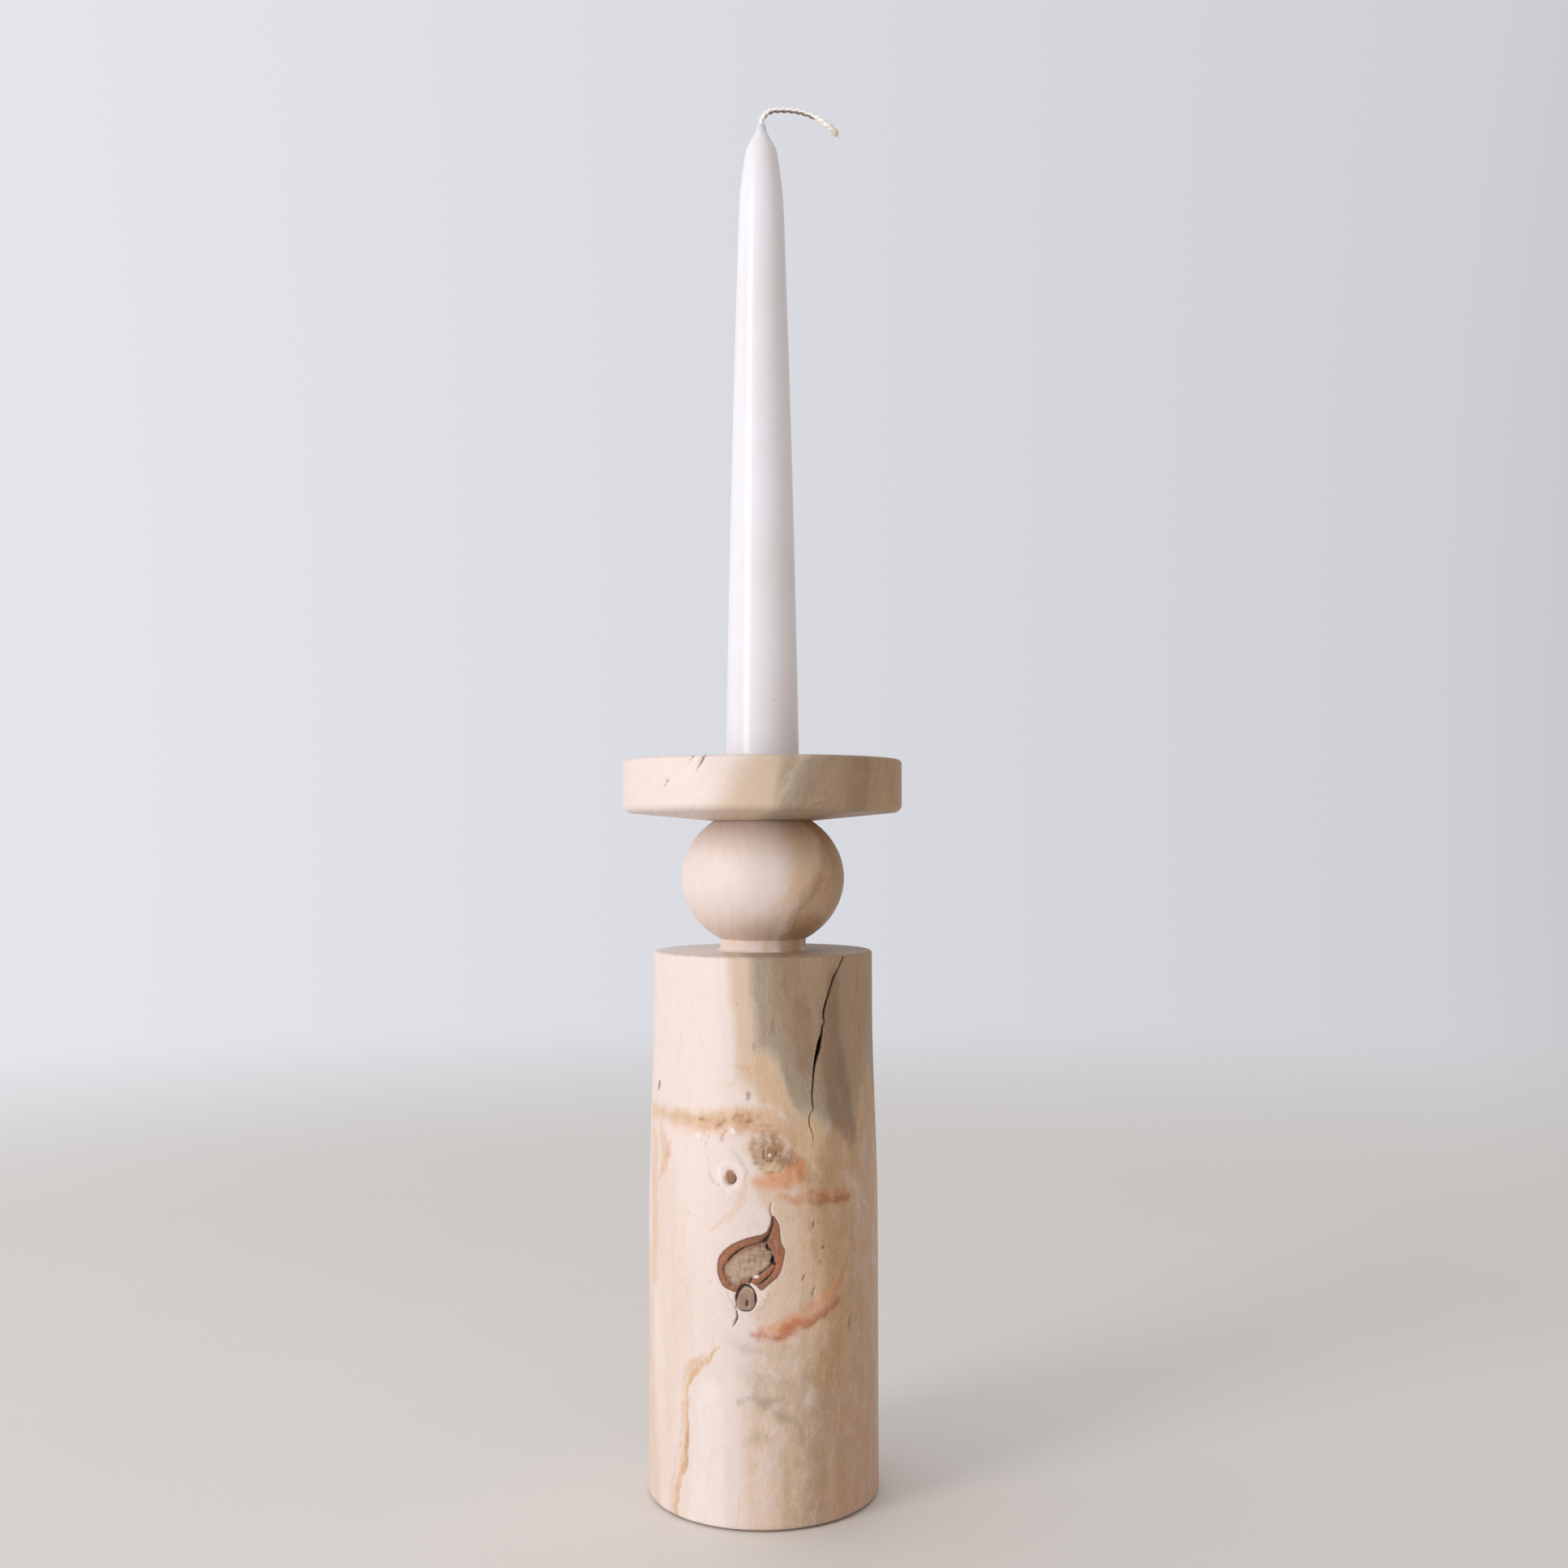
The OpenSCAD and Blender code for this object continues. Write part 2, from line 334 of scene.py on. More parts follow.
def turnedTree():
    # Geometry in is the outline as a line of points, x for radius and z for height.
    tree, given, add = newTree("turnedForm", Segments="Int", Crowding="Float", Waver="Float",
                               Waver_Size="Float", Seed="Float")
    count = add("AttributeDomainSize", (given["Geometry"],), "Point Count")
    across = add("Math.ADD", (given["Segments"], 1.0))
    sheet = add("MeshGrid", {"Size X": 1.0, "Size Y": 1.0, "Vertices X": across,
                             "Vertices Y": count})
    place = add("InputPosition")
    split = add("SeparateXYZ", (place,), None)
    # which point of the outline this row takes
    share = add("Math.ADD", (split["Y"], 0.5))
    row = add("Math.MULTIPLY", (share, add("Math.SUBTRACT", (count, 1.0))))
    sample = add("SampleIndex", {"Geometry": given["Geometry"], "Value": place,
                                 "Index": add("Math.ROUND", (row,))}, data_type="FLOAT_VECTOR")
    outline = add("SeparateXYZ", (sample,), None)
    # the angle from the front, with the columns of faces crowded towards the front
    turn = add("Math.MULTIPLY", (split["X"], math.tau))
    angle = add("Math.MULTIPLY_ADD", (add("Math.SINE", (turn,)), given["Crowding"], turn))
    back = add("Math.MULTIPLY", (add("Math.COSINE", (angle,)), -1.0))
    ray = add("CombineXYZ", (add("Math.SINE", (angle,)), back))
    flat = add("VectorMath.SCALE", {0: ray, "Scale": outline["X"]})
    turned = add("VectorMath.ADD", (flat, add("CombineXYZ", {"Z": outline["Z"]})))
    # a hand's unsteadiness, inwards only, so that the box stays the design's
    drift = add("TexNoise", {"Vector": turned, "W": given["Seed"], "Scale": given["Waver Size"],
                             "Detail": 2.0}, noise_dimensions="4D")
    depth = add("Math.MULTIPLY", (drift, given["Waver"]))
    reach = add("Math.DIVIDE", (outline["X"], 0.008), use_clamp=True)
    pull = add("Math.MULTIPLY", (add("Math.MULTIPLY", (depth, reach)), -1.0))
    moved = add("SetPosition", {"Geometry": sheet, "Position": turned,
                                "Offset": add("VectorMath.SCALE", {0: ray, "Scale": pull})})
    return endTree(tree, given, add("MergeByDistance", {"Geometry": moved, "Distance": 1e-6}))


turnedForm = turnedTree()


def grow(tree, mesh, settings):
    # runs a Geometry Nodes tree on a mesh and returns the result as a plain mesh
    holder = bpy.data.objects.new("holder", mesh)
    bpy.context.scene.collection.objects.link(holder)
    modifier = holder.modifiers.new("form", "NODES")
    modifier.node_group = tree
    for item in tree.interface.items_tree:
        if item.item_type == "SOCKET" and item.in_out == "INPUT" and item.name in settings:
            modifier[item.identifier] = settings[item.name]
    now = bpy.context.evaluated_depsgraph_get()
    now.update()
    made = bpy.data.meshes.new_from_object(holder.evaluated_get(now), depsgraph=now)
    holder.modifiers.remove(modifier)
    bpy.data.objects.remove(holder)
    return made


def newLine(path):
    # a line of points in mm, x and z, as an open mesh
    line = bpy.data.meshes.new("line")
    line.from_pydata([(x * mm, 0, z * mm) for x, z in path],
                     [(i, i + 1) for i in range(len(path) - 1)], [])
    return line


def turn(outline, material, look):
    # outline in mm, from its start round to its end; look says how fine and how even the form is
    made = grow(turnedForm, newLine(refine(outline, look["rowStep"])), {
        "Segments": look["segments"], "Crowding": look["crowding"],
        "Waver": look["waver"] * mm, "Waver Size": look["waverSize"], "Seed": look["seed"],
        "Material": material})
    settle(made)
    return made


# ---- poplar: pale sapwood, a tan border and a grey-brown heart, turned and thinly oiled ----

poplarLook = {
    "sap": "#EDDFD8", "border": "#D9C3AC", "heartRim": "#A69A86", "heart": "#A18B72",
    "heartDeep": "#AC9276",
    "tan": "#DAB88E", "umber": "#B18A5F", "dusk": "#846850", "moss": "#A5977F",
    "brown": "#94663F", "rust": "#BD6430", "peach": "#E09B6C", "pale": "#F6EBE4",
    "bark": "#A96845", "barkBrown": "#84583D", "plug": "#B99E86", "plugDark": "#8F7158",
    # gap is near black: painted shade for the depths of the gaps and the crack
    "barkEdge": "#7A4A33", "gap": "#21120B", "gapWall": "#6B4229",
    # the figure's sizes in mm, across and along the grain
    "streak": (0.7, 5.5), "broad": (3.2, 45.0), "blotch": (4.0, 6.5), "pore": (0.17, 1.6),
    "crumb": (0.45, 0.7), "ringSpacing": 3.6,
}

# stains in the order they are laid: (tone, how much the figure breaks it up, most cover)
poplarStains = [("tan", 0.4, 0.85), ("umber", 0.45, 0.85), ("moss", 0.5, 0.85),
                ("dusk", 0.55, 0.8), ("peach", 0.3, 0.85), ("rust", 0.36, 0.9)]


def makePoplar(look):
    material, tree, skin = newMaterial("turnedPoplar", Roughness=0.5, IOR=1.48,
                                       Coat_Weight=0.1, Coat_Roughness=0.4)
    add = partial(addNode, tree)
    names = ["heartDepth", "ringPlace", "endGrain", "barkEdge", "plugEdge", "darkLine", "sunk",
             "brown", "pale"] + [stain[0] for stain in poplarStains]
    marks = {name: add("Attribute", output="Fac", attribute_name=name) for name in names}
    grain = add("Attribute", output="Vector", attribute_name="grainPlace")

    def figure(name, detail, roughness=0.6):
        # noise stretched along the grain, about -1 to 1
        across, along = look[name]
        spread = add("VectorMath.MULTIPLY", (grain, (1 / across, 1 / across, 1 / along)))
        noise = add("TexNoise", {"Vector": spread, "Scale": 1.0, "Detail": detail,
                                 "Roughness": roughness})
        return add("Math.MULTIPLY_ADD", (noise, 3.2, -1.6))

    def total(*terms, start=0.0):
        # adds up socket times weight for each term
        for socket, weight in terms:
            start = add("Math.MULTIPLY_ADD", (socket, weight, start))
        return start

    def lay(colour, tone, value, low, high, most=1.0):
        # lays a tone over a colour where a value passes from low to high
        cover = add("MapRange.SMOOTHSTEP", (value, low, high, 0.0, most))
        tone = linear(look[tone]) if isinstance(tone, str) else tone
        return add("Mix.MIX", {0: cover, 6: colour, 7: tone}, 2, data_type="RGBA")

    streak, broad = figure("streak", 3.0), figure("broad", 3.0)
    blotch, pore = figure("blotch", 4.0), figure("pore", 2.0)
    crumb = figure("crumb", 3.0, 0.7)
    ends = marks["endGrain"]

    # sap, border and heart follow the depth into the heartwood, pulled about by the figure
    depth = total((blotch, 1.0), (crumb, 0.9), (streak, 1.0), start=marks["heartDepth"])
    share = add("MapRange", (depth, -20.0, 60.0))
    colour = add("ValToRGB", (share,), stops=[
        (0.0, look["sap"]), (0.125, look["sap"]), (0.175, look["border"]),
        (0.232, look["border"]), (0.27, look["heartRim"]), (0.34, look["heart"]),
        (0.7, look["heartDeep"])])
    inHeart = add("MapRange.SMOOTHSTEP", (depth, -0.6, 1.0))

    # stains: a soft amount from the marks, made ragged by the streaks
    uneven = total((crumb, 0.5), (blotch, 0.8), (streak, 0.3))

    def stain(colour, name, ragged, most):
        # full raggedness where there is some stain, none where there is none
        some = add("Math.MINIMUM", (total((marks[name], 2.5)), 1.0))
        amount = total((uneven, total((some, ragged))), start=marks[name])
        return lay(colour, name, amount, -0.1, 1.15, most)

    for entry in poplarStains:
        colour = stain(colour, *entry)

    # streaks of the figure: strong in the heart, faint in the sap, growth rings fainter still
    ringed = total((blotch, 0.35), start=marks["ringPlace"])
    saw = add("Math.FRACT", (total((ringed, 1 / look["ringSpacing"])),))
    late = total((add("MapRange.SMOOTHSTEP", (saw, 0.62, 0.98)), total((ends, 0.08), start=0.014)))
    coloured = add("Math.MAXIMUM", (marks["umber"], marks["tan"]))
    coloured = add("Math.MAXIMUM", (inHeart, coloured))
    figured = total((total((broad, 0.8), (streak, 1.0)), total((coloured, 0.12), start=0.02)))
    bright = total((figured, 1.0), (blotch, 0.026), (crumb, 0.026),
                   (pore, total((coloured, 0.17), start=0.06)), (late, -1.0), (ends, -0.06),
                   start=1.0)
    toned = add("CombineColor", (bright, bright, bright))
    colour = add("Mix.MULTIPLY", {0: 1.0, 6: colour, 7: toned}, 2, data_type="RGBA")

    # the enclosed knot: reddish bark round a grainy plug
    rim = total((crumb, 0.12), start=marks["barkEdge"])
    plugRim = total((crumb, 0.14), start=marks["plugEdge"])
    barkTone = lay(linear(look["bark"]), "barkBrown", total((blotch, 1.0), (crumb, 1.0)),
                   -0.5, 0.9)
    colour = lay(colour, "barkEdge", rim, 0.28, -0.12)
    colour = lay(colour, barkTone, rim, -0.15, -0.5)
    plugTone = lay(linear(look["plug"]), "plugDark", total((crumb, 1.2), (blotch, 1.0)),
                   -0.6, 0.9)
    plugTone = lay(plugTone, "barkEdge", plugRim, -1.5, -0.1, 0.7)
    colour = lay(colour, plugTone, plugRim, 0.15, -0.25)
    colour = stain(colour, "brown", 0.6, 0.92)
    colour = stain(colour, "pale", 0.3, 0.95)

    # gaps and the inside of the drying crack: brown along the lips of thin gaps, then painted shade,
    # near black, inside the wider gaps and wherever the wood lies more than half a millimetre below
    # the turned skin, as on the crack's walls and in the dowel's bore
    crisp = total((crumb, 0.07), start=marks["darkLine"])
    colour = lay(colour, "gapWall", crisp, 0.19, -0.08, 0.92)
    colour = lay(colour, "gap", crisp, 0.02, -0.22)
    colour = lay(colour, "gap", marks["sunk"], 0.5, 1.0)

    # the heart, the knot and the open pores are a little duller than the sap
    inBark = add("MapRange.SMOOTHSTEP", (rim, 0.2, -0.2))
    dull = total((pore, 0.04), (inHeart, 0.06), (inBark, 0.12), start=0.47)
    dressSkin(tree, skin, colour, total((crumb, 0.12), (streak, 0.35), (pore, 0.5)), 0.3, 0.05, dull)
    return material


poplar = makePoplar(poplarLook)

# Each section's own figure, in mm. The heart's edge is (height, place round from the front).
columnFigure = {"unroll": 34.0, "border": 5.4, "pith": (60, -15), "slant": 0.0,
                "edge": [(0, -1), (131, -1), (140, -1.4), (149, -2.6), (158, -3), (159, -3)]}
beadFigure = {"unroll": 24.35, "border": 12.0, "pith": (60, -12), "slant": 0.3,
              "edge": [(158, 42), (168, 43), (175, 44), (180, 45), (186, 46), (197, 48)]}
plateFigure = {"unroll": 41.65, "border": 15.5, "pith": (76, -20), "slant": 0.5,
               "edge": [(196, 3), (200, 4.6), (206, 7.6), (210, 9), (212, 10.5), (215, 14)]}

# Marks on the column. Places are (mm round from the front, height in mm, half width in mm).
columnMarks = {
    # along the lower limit of the grey heart
    "heartFoot": [(-40, 150), (-3, 134), (-1, 132.6), (1, 131.6), (5, 130), (6, 127),
                  (6.6, 124), (7.2, 121.5), (9, 118.5), (10.2, 116), (12, 114.2), (15, 113.2),
                  (17, 111.5), (21, 109.4), (26, 107), (32, 107.5), (33.4, 113), (36, 119),
                  (40, 124), (47, 118), (56, 104), (66, 99), (74, 106), (84, 101), (92, 109),
                  (107, 114)],
    # knots the grain flows round: (place, height, half width, half height)
    "knots": [(-3.2, 73.5, 8.5, 11.5), (-9.3, 97.3, 3.2, 3.6), (2.2, 104, 5.5, 7.5),
              (-4.2, 119.5, 1.8, 2.2), (-17.3, 107.3, 1.8, 2.4), (-66, 88, 3.4, 4.4),
              (71, 57, 3.0, 3.8), (-96, 131, 1.6, 2.0)],
    "bark": [(2.9, 86.6), (1.9, 83.4), (0.4, 81.8), (-2, 81.2), (-5, 80.3), (-8, 79),
             (-10.5, 77.2), (-12.3, 75), (-12.8, 72.8), (-12.7, 70.4), (-12, 68.5),
             (-11, 67), (-9.3, 66.2), (-7.6, 65.8), (-6.4, 66.8), (-3.8, 68.4), (-1.6, 67.6),
             (-0.2, 66.3), (1.3, 67.4), (3, 68.8), (4.5, 70.2), (5.4, 72.2), (6.1, 75),
             (6.4, 77.2), (5.4, 79), (5.1, 81.2), (4.8, 84), (3.8, 86)],
    "plug": [(1.4, 79.6), (-1.4, 79), (-3.5, 78.3), (-5.8, 77.4), (-7.8, 76), (-9.6, 74.2),
             (-10.8, 72.6), (-11, 71), (-10.3, 69.4), (-9, 67.8), (-7.6, 66.8), (-6.4, 67.4),
             (-4.6, 68.8), (-2.8, 69), (-1.6, 69.6), (-0.4, 70.6), (1.2, 71.8), (2.6, 73.2),
             (3.8, 74.6), (3.5, 76.2), (2.5, 77.6), (1.9, 78.8)],
    # gaps that are cut into the wood
    "gaps": [
        [(2.6, 90.4, 0.05), (2.3, 88, 0.12), (3.1, 85.2, 0.2), (2.7, 83.2, 0.22),
         (2, 81.6, 0.3), (1.1, 80.1, 0.6), (0.2, 79.8, 0.25)],
        [(0.2, 79.8, 0.25), (-1.5, 79.1, 0.14), (-3.5, 78.5, 0.12), (-5.5, 77.7, 0.2),
         (-7.5, 76.4, 0.28), (-9.2, 74.8, 0.26), (-10, 73.8, 0.14)],
        [(-10.6, 73.4, 0.12), (-11.1, 72, 0.24), (-10.9, 70.3, 0.16), (-10.2, 68.8, 0.1),
         (-8.9, 67.3, 0.08)],
        [(1.3, 79, 0.2), (1.5, 77.9, 0.38), (2.5, 77.3, 0.2)],
        [(2.6, 76, 0.14), (3.1, 75.1, 0.42), (2.9, 74.2, 0.6), (3.7, 73.3, 0.3)],
        [(3.5, 72.4, 0.12), (2.7, 71, 0.2), (1.5, 69.7, 0.26), (0.4, 68.8, 0.26),
         (-1, 67.9, 0.08)],
        [(2.8, 73.6, 0.16), (1, 71.9, 0.12), (-0.8, 70.7, 0.12)],
        [(-5.6, 67.3, 0.46), (-6.6, 66, 0.42), (-7.2, 64.6, 0.42), (-7.3, 63, 0.2),
         (-6.9, 61.6, 0.16), (-5.8, 60.8, 0.18), (-4.4, 60.6, 0.22), (-3, 60.9, 0.16),
         (-2.1, 62, 0.16), (-1.8, 63.5, 0.36), (-1.9, 65, 0.3), (-2.5, 66.5, 0.22),
         (-3.6, 67.4, 0.32), (-4.6, 67.7, 0.32), (-5.6, 67.3, 0.46)],
        [(-4.3, 63.8, 0.1), (-4.2, 62.9, 0.32), (-4.3, 61.9, 0.26)],
        [(-3.5, 68.2, 0.26), (-3, 69.5, 0.14)],
        [(-7.7, 61.9, 0.06), (-7.1, 59.9, 0.16), (-7.1, 58.3, 0.2), (-8.1, 56.2, 0.05)],
        [(-7.9, 98.2, 0.06), (-7.3, 97, 0.16), (-7.8, 95.8, 0.2), (-9.2, 95.4, 0.14)],
        [(0.7, 104.7, 0.16), (0.5, 103.4, 0.12), (0.9, 102.2, 0.2), (1.9, 101.7, 0.1)],
        [(2.6, 101.8, 0.16), (3.6, 102.2, 0.08)], [(4, 103, 0.14), (4.1, 104.2, 0.1)],
        [(1.6, 105.2, 0.1), (2.4, 105.3, 0.16)],
        [(-10.6, 109.5, 0.1), (-10.2, 109.8, 0.2), (-9.8, 109.9, 0.1)],
        [(14.9, 84.3, 0.1), (14.9, 83.3, 0.16)], [(17.5, 77.1, 0.12), (18.2, 76.9, 0.16)],
        [(16.8, 73.5, 0.06), (17.1, 72.7, 0.12)], [(28.6, 56.6, 0.06), (27.4, 54, 0.14)],
        [(15.1, 66.2, 0.05), (14.5, 64.4, 0.1)], [(12.1, 69.9, 0.05), (11.4, 68.6, 0.08)],
    ],
    # stains by tone: (strength, soft edge in mm, points of a stroke)
    "tan": [
        (0.95, 5.0, (-44, 112, 2.4), (-30, 112.6, 1.8), (-18, 112.4, 2.4), (-8, 113.4, 3),
         (2, 112, 4), (8, 108, 4)),
        (0.3, 7.0, (-34, 100, 5), (-31, 80, 7), (-28, 60, 8), (-30, 40, 5), (-34, 10, 4)),
        (0.32, 3.0, (-12, 122, 1), (-4, 124, 1.2), (2, 122, 1)),
        (0.6, 4.0, (-42, 104, 4), (-40, 84, 3), (-40, 66, 3)),
        (0.8, 4.0, (-2, 106, 3), (2, 102, 4), (6, 98, 4)),
        (0.8, 9.0, (6, 54, 3), (8, 30, 6), (8, -6, 6)),
        (0.55, 7.0, (2, 50, 3), (0, 32, 5), (0, 14, 5), (1, -6, 5)),
        (0.5, 9.0, (-47, 70, 4), (-47, 40, 7), (-45, -6, 12)),
        (0.8, 1.6, (-9.6, 127.8, 0.2), (-5, 127.4, 1.2), (-1, 127, 2.6)),
        (0.75, 3.0, (0, 128, 3), (2, 123, 4), (3, 118, 4.4), (6, 113, 4), (9, 109, 3.4),
         (12, 104, 3)),
        (0.6, 2.6, (-29, 112, 0.9), (-24, 111.6, 1.1), (-19, 112.3, 1.7), (-13, 112.6, 2.2),
         (-8, 113.6, 2.4), (-3, 113.8, 2), (1, 112, 2)),
        (0.6, 2.5, (-38, 113, 0.6), (-37, 108, 1.4), (-34, 104, 2.4), (-34, 98, 2),
         (-38, 93, 1.4)),
        (0.8, 0.5, (-34.4, 107.4, 0.1), (-32.4, 110.6, 0.2), (-31, 113.6, 0.3),
         (-30.2, 113.8, 0.3), (-28.4, 111.6, 0.3)),
        (0.6, 4.0, (-2, 96, 2), (2, 92, 3), (8, 88, 5), (9, 80, 6), (9, 72, 6), (7, 64, 6),
         (0, 60, 3)),
        (0.95, 6.0, (14, 108, 5), (16, 100, 7), (18, 90, 9), (19, 78, 10), (19, 66, 10),
         (18, 56, 9), (18, 46, 8)),
        (0.45, 1.6, (-15, 82, 0.4), (-11, 85, 1), (-7.5, 88, 1.6), (-5.5, 92, 1.2),
         (-4.5, 96, 0.8)),
        (1.0, 0.7, (-12.4, 50.4, 0.2), (-14.4, 48, 0.5), (-16.6, 45.6, 0.8),
         (-19.4, 42.8, 0.9), (-21.7, 40, 0.8), (-22.7, 37, 0.5), (-22.9, 32, 0.5),
         (-23, 27, 0.6), (-23.1, 22, 0.9), (-24, 16, 1), (-25.6, 12, 0.8), (-27, 7, 0.9),
         (-27.8, -2, 0.9)),
        (0.6, 1.6, (-17, 47, 0.8), (-21.4, 43.6, 1.4), (-23.8, 39, 1), (-24, 30, 1.2),
         (-24.4, 22, 1.3), (-25.4, 14, 1.2), (-28, 6, 1.6), (-29, -2, 2)),
        (0.55, 0.9, (-25.6, 25, 0.2), (-27, 18, 0.5), (-28.6, 12, 0.5), (-30.4, 5, 0.7)),
        (0.4, 0.5, (-10.2, 52.8, 0.08), (-10.2, 45, 0.1)),
        (0.45, 0.8, (-6.2, 10.5, 0.2), (-6.7, 6, 0.25), (-6.6, -1, 0.25)),
        (0.4, 5.0, (-104, 160, 8), (-100, 120, 6), (-94, 80, 8), (-98, 40, 7), (-96, -4, 9)),
        (0.5, 4.0, (-62, 150, 1), (-60, 116, 2.4), (-64, 98, 3.6), (-63, 78, 3), (-58, 50, 2),
         (-60, 10, 1.5)),
    ],
    "umber": [
        (0.8, 6.0, (26, 104, 8), (24, 96, 9), (24, 86, 9), (25, 74, 8), (26, 62, 8),
         (30, 50, 8), (34, 36, 8), (37, 18, 8), (37, -8, 8)),
        (1.0, 11.0, (31, 62, 9), (30, 36, 16), (30, 18, 17), (30, -8, 18)),
        (0.7, 3.0, (4, 108, 2), (6, 103, 3), (10, 100, 3), (14, 97, 3)),
        (0.5, 3.0, (33, 155, 2), (34, 140, 3), (35, 120, 3)),
        (0.85, 12.0, (46, 112, 14), (48, 98, 20), (48, 80, 24), (49, 60, 25), (50, 40, 26),
         (50, 18, 26), (50, -6, 26)),
        (0.8, 0.8, (21.6, 36.5, 0.1), (22.6, 30, 0.2), (21.2, 22, 0.15), (20, 13, 0.2),
         (19.4, 3, 0.15)),
        (0.9, 1.6, (33.4, 25, 0.4), (32.8, 14, 0.8), (33.6, 6, 0.4)),
        (0.8, 1.4, (30, 74, 0.2), (24.5, 66, 0.8), (22, 61, 0.6)),
        (0.5, 4.0, (23, 103, 4), (18, 97, 3), (14, 88, 2), (17, 78, 3), (20, 66, 3),
         (24, 52, 4)),
        (0.75, 5.0, (84, 94, 4), (88, 70, 7), (84, 40, 6), (88, 8, 7)),
    ],
    "dusk": [
        (0.9, 0.8, (-4.6, 65.8, 1.8), (-4.5, 64, 2.7), (-4.5, 62.8, 2.3)),
        (0.5, 0.8, (-9.2, 97.6, 1.4), (-8.8, 97, 1.4)),
        (0.95, 4.0, (23, 152, 2), (22, 140, 3.2), (23, 128, 4.4), (25, 116, 5), (27, 110, 3.6),
         (29, 106, 2)),
        (0.45, 3.0, (8, 158, 3), (9, 150, 3), (12, 138, 4), (13, 126, 2.4)),
        (0.7, 0.8, (6.6, 152.4, 0.5), (6.3, 150.6, 0.4)),
        (0.6, 1.0, (3.4, 140, 0.6), (3.2, 137.6, 0.8)),
        (0.75, 0.9, (2.6, 108.8, 0.4), (3.2, 107.4, 0.8), (3.5, 106, 0.5)),
        (0.6, 1.0, (0, 110.8, 0.2), (0.2, 108.4, 0.5), (0.8, 106.4, 0.9)),
        (0.5, 1.2, (-2.6, 107.4, 0.8), (-2.6, 104.6, 0.5), (-1.6, 101.2, 0.6)),
        (0.7, 1.0, (28.6, 109, 0.4)), (0.5, 1.2, (36.4, 11, 0.3), (37, 5, 0.7)),
        (0.6, 5.0, (58, 152, 4), (62, 132, 6), (60, 112, 3)),
        (0.5, 5.0, (86, 150, 5), (82, 128, 5), (88, 112, 3)),
    ],
    "moss": [
        (0.7, 3.0, (0.5, 157, 1.6), (1.4, 150, 2), (3, 140, 2.4), (4.6, 133, 2.4),
         (8, 126, 2.2), (11, 118, 2)),
        (0.9, 0.7, (-2.4, 134, 0.4), (-2.7, 132.2, 0.4)),
        (0.34, 5.0, (-9, 52, 1), (-2, 49.5, 2.4), (6, 48.5, 3), (14, 50, 2.4), (20, 51, 1)),
        (0.38, 9.0, (12, 44, 5), (10, 30, 7), (10, 16, 7), (10, -6, 7)),
        (0.9, 3.6, (-6.6, 35.4, 0.2), (-3, 37, 0.8), (1.4, 35.4, 1.8), (5.4, 36.6, 0.8)),
        (0.9, 3.4, (2.4, 33.6, 0.4), (6.4, 31.4, 1.6), (10.4, 28.8, 1), (11.6, 24, 0.4)),
        (0.5, 5.0, (-5, 24.4, 0.6), (1, 26.6, 1.4), (4.4, 22.4, 0.6)),
        (0.42, 8.0, (-2, 44, 3), (2, 36, 5), (8, 28, 4), (4, 18, 3)),
        (0.4, 6.0, (-6, 44, 1.4), (3, 41, 3.6), (12, 44, 2.4)),
        (0.6, 0.5, (6.1, 36.6, 0.1), (6.3, 34.4, 0.15), (6.8, 33, 0.1)),
        (0.5, 1.6, (4.2, 31.4, 0.3), (6.2, 30.6, 0.6), (7.6, 29.8, 0.3)),
        (0.5, 0.5, (6.9, 19.2, 0.1), (6.4, 16, 0.15)), (0.4, 1.4, (8.4, 11.6, 0.8)),
        (0.5, 1.0, (15.8, 40, 0.3), (17.4, 37, 0.4)),
        (0.9, 0.9, (-38.8, 120.8, 0.5), (-38.8, 119.3, 0.6)),
        (0.55, 0.7, (-15.3, 102.5, 0.1), (-15.8, 100.2, 0.25), (-15.3, 97.6, 0.25),
         (-14, 95.5, 0.3), (-12, 94.4, 0.2), (-10.5, 94.1, 0.1)),
        (0.45, 0.8, (-8.6, 104.6, 0.3), (-7, 103.6, 0.4), (-5.7, 101.6, 0.25),
         (-4.6, 99, 0.25), (-4.4, 96.4, 0.2)),
        (0.35, 1.4, (-22.6, 85.6, 0.7)), (0.4, 0.8, (-13.8, 54, 0.1), (-14.3, 48.4, 0.3)),
    ],
    "brown": [
        (0.24, 4.2, (-34, 112.4, 0.4), (-19, 112, 1.4), (-12, 112, 2.2), (-6, 112.6, 3),
         (0, 112, 3), (5, 110, 2.4), (9, 107, 1.4)),
        (0.7, 1.2, (-19.6, 113, 0.2), (-18.3, 112.8, 0.6), (-16.6, 112.5, 0.3)),
        (0.55, 1.6, (-14, 110.8, 0.3), (-12, 111.6, 0.7), (-9.6, 113, 0.7), (-7.6, 114, 0.6),
         (-5.4, 114.3, 0.3)),
        (0.85, 0.9, (-4.6, 112.9, 0.3), (-3.2, 113.2, 0.6), (-2, 112.5, 0.3)),
        (0.34, 1.0, (-27.6, 111.2, 0.1), (-24, 110.6, 0.2), (-20, 110.2, 0.25),
         (-16, 110.5, 0.2)),
        (0.45, 2.4, (0.4, 109, 1.4), (0.6, 105.5, 3.2), (0.6, 102.5, 2.6)),
        (0.8, 0.7, (2.4, 104.4, 1.2), (2.4, 102.8, 1.2)),
        (0.5, 0.8, (-1, 99.9, 0.1), (1, 99.1, 0.18), (3, 98.7, 0.22), (5.2, 99.6, 0.4),
         (7, 101.2, 0.2)),
        (0.7, 0.5, (8.9, 105.6, 0.3)), (0.7, 0.5, (7.7, 104, 0.3)), (0.6, 0.5, (9.9, 102, 0.25)),
        (0.6, 0.5, (10.4, 99.7, 0.25)), (0.5, 0.5, (8.6, 101.2, 0.2), (9.8, 101.5, 0.2)),
        (0.7, 0.7, (-4.2, 119.7, 0.9), (-4.1, 119.1, 0.9)),
